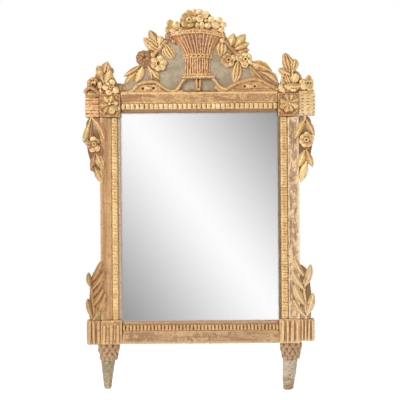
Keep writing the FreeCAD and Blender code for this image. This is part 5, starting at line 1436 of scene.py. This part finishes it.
def makeBasketFlowers():
    cut = crestCut(tone=(0.15, 0), seed=4)
    cut.leaves(
        ((168, 31.5), (222, 31), 9, (8, 9, 8), 0, 0, (-0.9, 0), dict(blunt=0.2, heel=0.9, rows=30)),
        ((186, 31), (197, 12.4), 21, (7, 8, 6), 0, 0, (-0.9, 0), dict(blunt=0.35)),
        ((210, 31), (202, 13), 18, (7, 8, 6), 0, 0, (-0.8, 0), dict(blunt=0.35)),
        ((224, 31), (214, 22), 12, (7, 8, 5), 0, 0, (-0.7, 0), dict(blunt=0.4)))
    cut.bloom((190.4, 20.1), ((97, 10.2, 7.4), (154, 9.0, 7.4), (222, 9.6, 7.6), (283, 8.0, 7.6),
        (10, 7.6, 6.4)), rise=(5, 12, 10), eye=1.3, deep=3, edge=0.72, tone=(-0.1, -0.5))
    flat = dict(edge=0.76, blunt=0.36, belly=1.1, heel=0.6, pleats=1, depth=-0.5)
    petals = (
        ((195.8, 12.8), 90, 6.6, 5.4, 11, (-0.3, -0.3)), ((201.0, 13.2), 85, 6.8, 6.8, 12, (0.6, -0.1)),
        ((206.6, 15.6), 62, 8.2, 6.8, 13, (0.7, 0)), ((212.2, 20.4), 60, 6.8, 6.4, 13, (0.7, -0.4)),
        ((220.4, 21.0), 80, 6.8, 6.6, 11.5, (0.5, -0.4)), ((215.8, 25.4), -18, 11.0, 6.8, 12.5, (0.5, 0.5)),
        ((224.2, 25.4), 5, 7.2, 5.6, 11.5, (0.2, 0.1)), ((222.2, 29.6), 310, 7.2, 6.2, 11, (0, 0.2)),
        ((208.8, 26.2), 0, 7.0, 6.0, 12.5, (0.7, 0)), ((203.2, 25.8), 90, 7.4, 4.8, 13, (0.6, 0.1)),
        ((198.8, 26.4), 92, 6.6, 4.6, 12, (0, -0.4)), ((177.6, 25.8), 100, 8.4, 7.6, 12, (0.3, -0.3)),
        ((171.4, 23.8), 120, 7.6, 7.2, 12, (-0.3, -0.7)), ((169.4, 29.4), 215, 6.8, 6.4, 11, (-0.3, -0.4)),
        ((175.0, 30.6), 262, 6.4, 6.0, 11.5, (-0.3, 0.2)), ((182.6, 30.2), 262, 5.8, 5.2, 10.5, (-0.5, 0.4)),
        ((216.0, 30.4), 270, 4.8, 6.6, 10.5, (-0.2, 0.3)), ((195.4, 30.4), 270, 4.6, 7.4, 10.5, (-0.3, 0)))
    for place, toward, size, wide, top, tone in petals:
        cut.petal(place, toward, size, wide, rise=(top - 4, top, top - 1), tone=cut.near(tone), **flat)
    cut.disc((201.2, 19.2), 4.0, 13.5, tone=(0.8, 0.5), cup=0.3).bud((201.2, 19.2), 1.3, 12.5,
        tone=(0.4, 0.6))
    cut.bud((207.0, 21.2), 1.8, 12, tone=(0, 0.3))
    return cut.made("carved_basket_flowers", 0.85, 96, **carveWear)


finished(makeBasketFlowers(), giltLeaves, "basket_flowers")
print("basket ready")


# Garlands beside the basket

def makeGarlandLeft():
    cut = crestCut(tone=(-0.2, -0.05), seed=5)
    cut.leaves(
        ((156, 50), (146, 66), 16, (3, 5, 4), 0, 0, (-0.7, 0), dict(blunt=0.4)),
        ((158, 43.4), (150.3, 29.6), 9.4, (5, 11, 5), 1, 1, (0.15, -0.5), dict(blunt=0.85)),
        ((161.4, 51.6), (144.4, 37.6), 11.4, (5, 13, 5), 3, 1.1, (0, 0.2), dict(blunt=0.75)),
        ((160.2, 46.6), (161.8, 35.8), 9, (7, 12, 10), 0, 0, (0.9, 0), dict(blunt=0.5, belly=1.7)))
    cut.stem([(167.0, 40.6), (160.8, 47.8), (153.6, 55.2)], 4.4, 8.0, tone=(-0.2, 0.2))
    cut.bud((153.8, 54.8), 2.6, 9, tone=(0.2, 0.7))
    cut.leaves(((165.4, 42), (174, 58.6), 12.6, (6, 13, 6), 4, 1.2, (0.6, 0), dict(bend=-0.06,
        blunt=0.5, belly=1.4)))
    cut.flower((144.9, 58.2), 10, 8.6, 6.4, inner=1.5, turn=20, rise=(6, 11, 6), spread=6, seed=5, edge=0.6,
        tone=(-1.2, 0.1))
    cut.flower((145.6, 57.2), 5, 5.0, 4.6, inner=0.8, turn=50, rise=(8, 14, 9), spread=8, seed=6, edge=0.6,
        tone=(-0.6, -0.2))
    cut.bloom((159.6, 63.4), ((148, 8.4, 7.4), (206, 8.2, 7.6), (262, 7.8, 7.4), (318, 8.2, 7.6),
        (14, 8.6, 7.6), (72, 8.2, 7.8)), rise=(8, 12, 10), eye=0, edge=0.6, tone=(0.75, -0.15))
    cut.hole((159.4, 63.3), 1.9, 4.5, tall=2.5)
    cut.leaves(
        ((143, 64.6), (124.4, 76.2), 5.6, (6, 10, 4), 1, 1, (-0.1, -0.1)),
        ((143.6, 65.6), (136.8, 82), 7.4, (6, 12, 6), 1, -0.8, (0.75, 0), dict(bend=0.05, blunt=0.6)),
        ((136.6, 72), (125.4, 83.6), 7.2, (4, 9, 4), 1, 0.9, (0, 0.2)),
        ((148.2, 64.6), (152.6, 79), 6.4, (5, 11, 5), 1, 0.9, (0.3, -0.1), dict(bend=0.08)),
        ((151, 67), (160.4, 79.6), 8.2, (5, 12, 6), 2, 0.9, (0.45, -0.1), dict(bend=-0.06)),
        ((151, 76), (160.8, 82.4), 4.6, (4, 7, 4), 0, 0, (-0.6, 0.2)))
    cut.stem([(153.6, 54), (151.4, 62), (149, 67)], 5.0, 7, tone=(-0.5, 0))
    return cut.made("carved_garland_left", 0.9, 100, **carveWear)


def makeGarlandRight():
    cut = crestCut(tone=(-0.16, -0.05), seed=6)
    cut.leaves(((230, 50), (250, 66), 15, (3, 5, 4), 0, 0, (-0.7, 0), dict(blunt=0.4)))
    cut.bud((223.2, 40.9), 2.6, 10.5, tone=(0.1, 0.5))
    cut.leaves(((223.6, 42.2), (222, 57), 12.2, (6, 13, 5), 3, 1.2, (0.3, -0.2), dict(blunt=0.55,
        belly=0.85)))
    cut.stem([(226.0, 41.4), (231.6, 47.6), (240.0, 57)], 4.6, 8.5, tone=(-0.55, 0.2))
    cut.leaves(
        ((231, 48.6), (235.2, 33.4), 10.6, (5, 11, 5), 1, 1.1, (0.1, -0.2), dict(blunt=0.85)),
        ((235.6, 47.6), (246.9, 34.4), 10.2, (5, 11, 5), 1, 1.1, (0, 0), dict(blunt=0.85)),
        ((235, 50.4), (250.6, 43.2), 9, (6, 11, 5), 1, 1.1, (0.3, 0)),
        ((237, 54.4), (250.4, 49.6), 8.4, (6, 10, 5), 1, 1, (-0.3, 0.1)))
    cut.bloom((229.8, 60.2), ((196, 8.2, 8.2), (20, 7.4, 7.4), (300, 7.4, 7.6), (248, 7.8, 7.6),
        (105, 6.8, 7.0), (150, 7.0, 6.4)), rise=(5, 12, 9), eye=1.5, deep=4, tone=(-0.25, -0.3))
    cut.disc((240.4, 58.1), 3.8, 10.5, tone=(0.2, 0.4)).disc((245.6, 65.4), 3.6, 11, long=3.0,
        tone=(0.4, 0.1))
    cut.bloom((246.4, 59.8), ((38, 7.0, 7.4), (335, 7.4, 7.4), (98, 6.8, 7.0), (215, 6.6, 6.6),
        (165, 6.4, 6.6)), rise=(5, 12, 9), eye=1.5, deep=4, tone=(0.2, 0.1))
    cut.leaves(
        ((239, 61), (235.2, 83.4), 11.4, (6, 13, 5), 3, 1.3, (0.35, 0.1), dict(bend=0.04, blunt=0.7)),
        ((248.6, 63.8), (273.8, 73.6), 11.2, (6, 11, 4), 2, 1.1, (0.1, 0), dict(bend=0.08, lobes=3)),
        ((250.6, 66.6), (263.6, 80.4), 9, (5, 9, 4), 2, 1, (-0.3, 0.1)),
        ((260, 72), (279.6, 85.2), 11, (5, 9, 3), 2, 1.1, (-0.15, 0.2), dict(bend=0.1, lobes=3)),
        ((255, 69), (274, 84), 10, (4, 7, 4), 2, 0.9, (-0.5, 0.4)))
    return cut.made("carved_garland_right", 0.9, 102, **carveWear)


def makeScrollLeft():
    cut = crestCut(tone=(-0.1, 0), seed=7)
    cut.leaves(((131, 91.2), (171, 92.2), 13, (5, 6.5, 5), 0, 0, (-0.15, 0), dict(blunt=0.5,
        edge=0.9, bend=0.02)))
    cut.stem([(118.4, 92.6), (128, 92.4), (133.2, 90.6), (138.0, 85.4), (144.6, 82.4), (152.4, 81.6), (157.6,
        82.8), (163.4, 87.0), (169, 90.4), (175.6, 91.8), (184, 91.4)], 4.2, 8.5, end=3.2, tone=(-0.25, 0.1))
    cut.leaves(((118, 94.6), (126.6, 87.6), 10.2, (3, 4, 3), 0, 0, (-0.15, 0.2), dict(blunt=0.3,
        edge=0.9, heel=0.9)))
    cut.bud((149.3, 88.2), 3.4, 7.6, long=2.0, tone=(0.7, 0.7))
    cut.hole((143.8, 88.4), 1.6, 5).hole((154.3, 88.2), 1.6, 5)
    return cut.made("carved_scroll_left", 0.85, 104, dents=0.4, dentSize=6, chips=0.5)


def makeScrollRight():
    cut = crestCut(tone=(-0.1, 0), seed=8)
    cut.leaves(((229, 91), (279, 92), 18, (5, 6.5, 5), 0, 0, (-0.1, 0), dict(blunt=0.5, edge=0.9, bend=0.03)))
    cut.stem([(216, 86.8), (221.0, 90.6), (227, 89.8), (234.4, 85.2), (244, 81.6), (254.6, 79.8), (262,
        81.4), (269.6, 85.4), (279.0, 90.6)], 4.8, 8.5, end=3.8, tone=(-0.2, 0.4))
    cut.stem([(233, 90.6), (245, 91.0), (262, 90.6), (276, 91.4)], 3.0, 7.4, tone=(-0.1, 0.1))
    cut.bud((279.4, 91.0), 2.6, 6.5, tone=(-0.3, 0.1))
    cut.bud((250.6, 86.9), 3.4, 8.2, long=2.6, tone=(0.4, 0.1))
    cut.hole((245.6, 86.9), 1.5, 5).hole((255.6, 86.9), 1.5, 5)
    return cut.made("carved_scroll_right", 0.85, 105, dents=0.4, dentSize=6, chips=0.5)


for make, material, node in (
        (makeGarlandLeft, giltLeaves, "garland_left"), (makeGarlandRight, giltLeaves, "garland_right"),
        (makeScrollLeft, giltPlain, "crest_scroll_left"), (makeScrollRight, giltPlain, "crest_scroll_right")):
    finished(make(), material, node)
print("garlands ready")


# Sprays over the corner blocks

def makeSprayLeft():
    cut = sideCut(sprayAt, tone=(-0.12, -0.08), seed=9)
    cut.leaves(
        ((104, 92), (108, 66), 20, (2, 5, 3), 0, 0, (-0.7, 0), dict(blunt=0.5)),
        ((106.4, 72), (109.8, 60.2), 9.6, (8, 12, 7), 1, 0.9, (0, 0.7), dict(blunt=1)),
        ((109.6, 72.6), (111.6, 62.6), 5.4, (9, 13, 7), 0, 0, (0.2, -0.4), dict(blunt=0.9)),
        ((113, 75.4), (114.2, 66.4), 5, (5, 8, 5), 0, 0, (-0.6, 0)),
        ((106.2, 84.4), (100.4, 64.4), 8.6, (6, 12, 10), 1, -1, (-0.25, 0), dict(blunt=0.6, belly=1.8)),
        ((107.8, 84.4), (112.6, 69), 10.4, (7, 14, 9), 1, 0.8, (0.6, -0.2), dict(blunt=0.55, belly=1.1)))
    cut.bloom((112.9, 87.4), ((76, 8.6, 7.2), (132, 7.0, 5.2, (0.4, -0.2)), (178, 8.4, 6.6), (250, 8.4, 7.4),
        (328, 9.0, 7.6)), rise=(8, 12.5, 11), eye=0, edge=0.72, tone=(0.7, -0.05))
    cut.bud((112.9, 87.4), 2.0, 14, tone=(-0.2, 0.3)).hole((112.9, 87.4), 1.0, 3)
    cut.bud((102.2, 84.9), 2.5, 12, long=3.8, tone=(0.3, -0.5))
    cut.bloom((95.4, 83.0), ((100, 6.6, 6.4), (48, 6.0, 6.0), (160, 6.2, 6.0), (205, 6.6, 5.6)),
        rise=(5, 12, 8), eye=0, tone=(-0.45, -0.1))
    cut.bud((97.2, 81.8), 1.5, 13.5, tone=(0.8, 0)).hole((95.4, 84.6), 1.6, 5)
    cut.leaves(((87.6, 94), (99.4, 94.4), 8.6, (6, 10, 7), 0, 0, (-0.3, -0.6), dict(blunt=0.5, heel=0.8)))
    cut.stem([(87.6, 93.4), (88.6, 90.0), (92.0, 87.8), (96.2, 89.0), (99.4, 91.8), (100.8, 94.6)], 3.8, 12.5,
        tone=(-0.45, 0.9))
    cut.leaves(
        ((102.2, 95), (102.8, 88.4), 5.4, (6, 10, 8), 0, 0, (0.3, 0.6), dict(blunt=0.5)),
        ((107, 94.6), (106, 88), 4.6, (2, 4, 3), 0, 0, (-1, -0.4)))
    return cut.made("carved_spray_left", 0.9, 110, **carveWear)


def makeSprayRight():
    cut = sideCut(sprayAt, tone=(0.2, -0.05), seed=10)
    cut.leaves(
        ((292, 93), (294, 70), 22, (2, 5, 3), 0, 0, (-0.6, 0), dict(blunt=0.4)),
        ((312, 92), (300, 84), 12, (2, 5, 3), 0, 0, (-0.6, 0), dict(blunt=0.4)),
        ((290.6, 73), (285.8, 52.6), 11.8, (7, 13, 6), 3, 1.7, (-0.15, 0.25), dict(bend=-0.05,
            blunt=0.55, lobes=2)),
        ((293.2, 75), (296.4, 59), 9.6, (7, 12, 9), 3, 1.3, (0.4, -0.3), dict(blunt=0.5, belly=1.8)),
        ((291.6, 76), (279.8, 69.4), 9.6, (7, 12, 6), 2, 1.5, (0.25, -0.2), dict(blunt=0.5)),
        ((291.4, 85.4), (287.2, 75), 7.4, (7, 10, 8), 3, 1, (-0.4, 0), dict(blunt=0.5)),
        ((293.8, 84.4), (298, 74.4), 8.4, (8, 13, 11), 0, 0, (0.55, -0.4), dict(blunt=0.5,
            belly=1.3, cup=0.6)),
        ((301.6, 87.6), (284.8, 86.8), 8.4, (9, 15, 9), 0, 0, (0.1, -0.1), dict(blunt=0.5,
            edge=0.45, bend=0.04)),
        ((296, 88.8), (302.6, 85.2), 4.6, (9, 12, 8), 0, 0, (0.3, 0)))
    cut.bud((294.4, 91.4), 3.4, 11, long=1.7, tone=(0.8, 0))
    cut.disc((303.0, 83.2), 3.0, 11.5, tone=(0.3, 0.4), cup=0.1)
    cut.bloom((308.6, 84.2), ((80, 6.8, 6.4), (32, 6.0, 6.0), (320, 6.6, 6.6), (218, 6.4, 6.0),
        (150, 5.2, 5.0)), rise=(6, 12, 9), eye=1.3, deep=4, tone=(-0.2, -0.3))
    cut.disc((304.4, 88.0), 3.1, 12.5, tone=(0.7, 0)).disc((310.6, 89.0), 3.4, 12, tone=(0.1, -0.4))
    cut.disc((309.6, 79.8), 2.6, 12.5, long=3.8, tone=(-0.5, -0.1))
    cut.leaves(((286, 94), (280.4, 84.8), 7, (4, 7, 5), 0, 0, (0.4, 0)))
    cut.stem([(299.8, 94.0), (307, 93.2), (315, 92.8)], 3.4, 7, tone=(-0.3, 0.2))
    return cut.made("carved_spray_right", 0.9, 112, **carveWear)


for make, name in ((makeSprayLeft, "left"), (makeSprayRight, "right")):
    finished(make(), giltLeaves, "spray_top_" + name)


# Flower drops and laurel branches beside the stiles

def makeDropLeft():
    cut = sideCut(dropAt["left"], tone=(-0.1, 0), seed=11)
    cut.leaves(
        ((98, 156), (95, 136), 12, (3, 5, 4), 0, 0, (-0.9, 0.2), dict(blunt=0.4)),
        ((92.2, 117.6), (84.8, 142.4), 6.6, (4, 10, 7), 1, 1.4, (0.15, -0.4), dict(belly=1.6, blunt=0.6)),
        ((93, 122), (91.4, 141), 5.2, (2, 5, 5), 0, 0, (-0.9, 0.1), dict(belly=1.5)),
        ((92.8, 117.2), (105.2, 139.4), 7.4, (6, 11, 6), 1, 1, (0.15, 0.7), dict(bend=0.08, blunt=0.55)))
    cut.bloom((95.0, 143.8), ((98, 7.8, 6.8, (0.8, -0.1)), (40, 7.0, 6.0, (-0.5, -0.6)), (170, 8.8, 6.2,
        (-0.4, -0.6)), (252, 8.2, 7.2, (0.5, 0.8)), (308, 8.4, 6.8, (-0.1, 0.4)), (210, 7.6, 5.2, (-0.8, 0))),
        rise=(5, 11.5, 9), eye=0, edge=0.7)
    cut.bud((95.3, 143.6), 2.3, 13, tone=(-0.1, -0.5)).hole((95.3, 143.6), 1.2, 3.5)
    cut.leaves(
        ((101.6, 144), (102.8, 156), 3.6, (3, 5, 3), 0, 0, (-1, 0.6)),
        ((97, 153.4), (104.2, 169), 7.6, (6, 12, 5), 2, 1.2, (-0.15, 0)),
        ((95.6, 153.6), (92, 169.4), 6, (5, 10, 6), 1, 0.9, (-0.5, 0.3)))
    cut.bud((93.8, 168.2), 2.8, 8, long=2.4, tone=(-0.8, -0.2))
    cut.leaves(
        ((95.6, 166.6), (103, 182.4), 7.6, (6, 11, 4), 1, 1.1, (-0.2, 0.5)),
        ((101.6, 170), (103.4, 180.6), 4, (4, 7, 4), 0, 0, (0.2, -0.6)))
    return cut.made("carved_drop_left", 0.85, 120, **carveWear)


def makeDropRight():
    cut = sideCut(dropAt["right"], tone=(0.05, 0.05), seed=12)
    cut.leaves(
        ((308, 150), (306, 134), 11, (3, 5, 4), 0, 0, (-0.8, 0.1), dict(blunt=0.4)),
        ((306.4, 118.6), (295.4, 140.2), 7.2, (5, 12, 5), 1, 1.1, (0.2, 0)),
        ((306.4, 119.4), (315.4, 137), 6.8, (5, 11, 5), 1, 1, (0, 0.2)))
    cut.stem([(305.6, 117.2), (306.0, 122)], 3.2, 9)
    cut.bloom((307.0, 140.8), ((148, 7.0, 7.4), (8, 8.0, 7.0), (250, 7.8, 7.2), (300, 7.8, 7.2),
        (84, 8.0, 6.6), (200, 7.4, 6.8), (46, 7.0, 6.4)), rise=(5, 12, 10), eye=1.4, deep=3, tone=(0, -0.1))
    cut.leaves(
        ((305.6, 151), (298.8, 168.4), 7.8, (6, 12, 5), 1, 1.1, (0.2, 0)),
        ((307, 150.4), (313.6, 168.4), 6.4, (5, 10, 4), 1, 1, (0, 0.1)),
        ((307.4, 161.6), (301.4, 183), 8, (6, 11, 5), 1, -0.9, (0.5, -0.2)))
    return cut.made("carved_drop_right", 0.85, 122, **carveWear)


laurels = dict(
    left=dict(stem=[(91.4, 285), (92.2, 296), (93.6, 308), (93.6, 319.0)], leaves=(
        ((92.6, 280.0), (101.8, 260.2), 7.4, (-0.1, 0.2)), ((91.4, 287.0), (88.6, 271.6), 6.0, (0, -0.3)),
        ((91.8, 289.0), (104.4, 270.6), 7.6, (0.1, 0.2)), ((92.2, 296.0), (102.6, 279.4), 7.0, (-0.2, -0.2)),
        ((92.4, 305.0), (103.2, 287.4), 7.4, (0, 0.1)), ((92.6, 316.4), (87.6, 297.4), 6.2, (-0.1, -0.5)),
        ((94.0, 317.6), (105.4, 292.4), 9.0, (0.3, -0.1)))),
    right=dict(stem=[(305.2, 280), (305.0, 290), (306.2, 304), (306.8, 319.0)], leaves=(
        ((305.0, 276.6), (295.8, 259.2), 6.8, (0, -0.3)), ((305.0, 287.6), (311.6, 265.0), 7.4, (0.1, 0)),
        ((306.0, 290.6), (292.8, 270.6), 6.8, (0.1, -0.1)), ((305.6, 305.0), (295.0, 285.4), 8.8, (0, 0.1)),
        ((306.4, 316.4), (313.8, 293.4), 7.8, (0.1, -0.2)), ((306.6, 316.6), (294.0, 300.0), 5.8, (0.2, 0)))),
)


def makeLaurel(name, side):
    cut = sideCut(laurelAt[name], seed=13)
    look = laurels[name]
    cut.stem(look["stem"], 2.4, 4.0, end=2.8, tone=(-0.3, 0))
    for k, (foot, tip, wide, tone) in enumerate(look["leaves"]):
        cut.leaf(foot, tip, wide, (5 + k % 2, 10 + k % 3, 5), pleats=1, depth=1.6 if k % 2 else 1.2,
            blunt=0.52, bend=0.05 * (1 if tip[0] < foot[0] else -1), tone=tone)
    return cut.made("carved_laurel_" + name, 0.85, 126 + side, dents=0.25, dentSize=6)


for make, name in ((makeDropLeft, "left"), (makeDropRight, "right")):
    finished(make(), giltLeaves, "flower_drop_" + name)
for name, side in sides:
    finished(makeLaurel(name, side), giltLaurel[name], "laurel_branch_" + name)
print("carvings ready")


# Back: boards, battens, fastenings and hangers

def islands(node):  # the middle and box of each separate solid in a node
    points, faces = cadSolid(node)
    group = np.arange(len(points))
    while True:
        before = group.copy()
        for face in faces:
            group[list(face)] = group[list(face)].min()
        if (group == before).all():
            break
    return [(points[group == g].min(0), points[group == g].max(0)) for g in np.unique(group)]


def softBoard(node, material):
    obj = newObject("planed_" + node, *cadSolid(node))
    bevel = obj.modifiers.new("Ease", "BEVEL")
    bevel.width = 0.7 * mm
    bevel.segments = 2
    bevel.limit_method = "ANGLE"
    return finished(applied(obj), material, node, slot="pine_back")


for k, node in enumerate(("backboard_left", "backboard_centre", "backboard_right")):
    softBoard(node, pineBoards[k])
for name, side in sides:
    batten = wornCopy("crest_batten_" + name, 1.0, 130 + side, dents=0.3, dentSize=12, chips=0.4)
    finished(batten, pineBattens, "crest_batten_" + name, slot="pine_back")


def fastenings(node, name, head, seed):
    boxes = islands(node)
    spots = [(low + high) / 2 for low, high in boxes]
    back = max(high[1] for low, high in boxes)
    base = [(spot[0], back, spot[2]) for spot in spots]
    heads = scattered(head, base, Turn=(0, 0.6, 0), Spread=(0.1, 0.1, 0.1), Seed=seed)
    return finished(newObject(name, *joined([cadSolid(node), heads])), iron, node, slot="iron")


nail = pillow((3.4 * mm, 1.0 * mm, 3.0 * mm), 0.7, (0, -0.55 * mm, 0), 7, 10)
screw = pillow((6.4 * mm, 1.4 * mm, 6.4 * mm), 0.85, (0, -0.7 * mm, 0), 7, 14)
fastenings("backboard_brads", "forged_brads", nail, 141)
fastenings("batten_screws", "hand_cut_screws", screw, 142)

for name, side in sides:
    ring = wornCopy("hanging_ring_" + name, 0.4, 150 + side, dents=0.08, dentSize=3, fine=0.03, fineSize=1)
    finished(ring, iron, "hanging_ring_" + name, slot="iron", body="ring_" + name)
    eye = wornCopy("hanger_eye_" + name, 0.4, 152 + side, dents=0.06, dentSize=3, fine=0.03, fineSize=1)
    finished(eye, iron, "hanger_eye_" + name, slot="iron")

for node, material in (("mirror_glass", plate), ("joint_pegs", pegWood), ("foot_dowels", pegWood)):
    mesh = nodes[node].data
    mesh.materials.clear()
    mesh.materials.append(material)
print("back ready")


# Studio: a pale floor, soft lights and the graded sheet that the mirror plate shows

studio = dict(
    eye=Vector((0.0005, -2.381, -0.244)), lens=85, roll=0.4, aim=Vector((0, 0, -0.24)),
    floorDrop=8.0 * mm, floorHalf=4, floorNear=-1.2, floorFar=0.9, floorGlow=0.5, panelY=-3.4, panelHalf=1.3,
    brightLine=((134, 120), (264, 300)), falloff=118, fade=1.5, world=0.32, panel=1.015,
)


def glowMaterial(name):  # light alone, with no surface
    material = bpy.data.materials.new(name)
    material.use_nodes = True
    tree = material.node_tree
    tree.nodes.clear()
    glow = tree.nodes.new("ShaderNodeEmission")
    tree.links.new(glow.outputs[0], tree.nodes.new("ShaderNodeOutputMaterial").inputs[0])
    return material, tree, glow


def makePanel():  # brightest along one slanting line, fading to both sides
    material, tree, glow = glowMaterial("gradedSheet")
    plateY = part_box("mirror_glass")[0].y
    reach = 1 + (plateY - studio["panelY"]) / (plateY - studio["eye"].y)
    (x0, z0), (x1, z1) = (crestAt(*spot) for spot in studio["brightLine"])
    length = math.hypot(x1 - x0, z1 - z0)
    across = (-(z1 - z0) / length, (x1 - x0) / length)
    eye = studio["eye"]
    px, pz = eye.x + (x0 - eye.x) * reach, eye.z + (z0 - eye.z) * reach
    place = apart(tree, placeOf(tree))
    offset = plus(tree, times(tree, minus(tree, place["X"], px), across[0]),
                  times(tree, minus(tree, place["Z"], pz), across[1]))
    fade = mathOf(tree, "DIVIDE", mathOf(tree, "ABSOLUTE", offset), studio["falloff"] * crestSquare * reach)
    fade = mathOf(tree, "POWER", math.exp(-1), mathOf(tree, "POWER", fade, studio["fade"]))
    tree.links.new(times(tree, fade, studio["panel"]), glow.inputs[1])
    half, y = studio["panelHalf"], studio["panelY"]
    corners = [(eye.x + a * half, y, eye.z + b * half) for a, b in ((-1, -1), (1, -1), (1, 1), (-1, 1))]
    panel = newObject("graded_sheet", corners, [(3, 2, 1, 0)])
    panel.data.materials.append(material)
    panel.visible_camera = False


def makeFloor():
    z, half = cadBox[0].z - studio["floorDrop"], studio["floorHalf"]
    near, far = studio["floorNear"], studio["floorFar"]
    floor = newObject("floor", [(-half, near, z), (half, near, z), (half, far, z), (-half, far, z)],
        [(0, 1, 2, 3)])
    material, tree, shader = newMaterial("paleFloor")
    speck = noiseOf(tree, placeOf(tree), 40.0, 3, 0.5)
    fill(tree, shader, {"Base Color": mixed(tree, speck, (0.93, 0.93, 0.93, 1), (0.96, 0.96, 0.96, 1)),
        "Roughness": 0.9, "Emission Color": (1, 1, 1, 1), "Emission Strength": studio["floorGlow"]})
    floor.data.materials.append(material)


lamps = dict(
    key=dict(place=(-1.5, -2.2, 1.1), size=1.0, power=51, color=(1.0, 0.98, 0.94)),
    fill=dict(place=(1.7, -2.0, 0.3), size=1.6, power=13, color=(0.97, 0.98, 1.0)),
    back=dict(place=(0.6, 2.2, 1.0), size=1.5, power=30, color=(1.0, 0.99, 0.97)),
)


def makeLights():
    for name, look in lamps.items():
        light = bpy.data.lights.new(name, "AREA")
        light.size, light.energy, light.color = look["size"], look["power"], look["color"]
        obj = bpy.data.objects.new(name, light)
        bpy.context.scene.collection.objects.link(obj)
        obj.location = look["place"]
        obj.rotation_euler = (studio["aim"] - Vector(look["place"])).to_track_quat("-Z", "Y").to_euler()
        obj.visible_camera = False
        obj.visible_glossy = name != "back"
    world = bpy.data.worlds.new("studio")
    bpy.context.scene.world = world
    world.use_nodes = True
    tree = world.node_tree
    sky = tree.nodes["Background"]
    seen = put(tree, "ShaderNodeLightPath", out="Is Camera Ray")
    tree.links.new(put(tree, "ShaderNodeMapRange", {"Value": seen, "To Min": studio["world"], "To Max": 1.0}),
                   sky.inputs["Strength"])
    sky.inputs["Color"].default_value = (1, 1, 1, 1)


def makeCamera():
    camera = bpy.data.cameras.new("camera")
    camera.lens = studio["lens"]
    camera.sensor_width = 36
    camera.clip_end = 50
    obj = bpy.data.objects.new("camera", camera)
    bpy.context.scene.collection.objects.link(obj)
    obj.location = studio["eye"]
    obj.rotation_euler = (math.radians(90), 0, 0)
    obj.rotation_euler.rotate_axis("Z", math.radians(-studio["roll"]))
    bpy.context.scene.camera = obj


makePanel()
makeFloor()
makeLights()
makeCamera()
bpy.context.scene.view_settings.view_transform = "Standard"
print("studio ready")
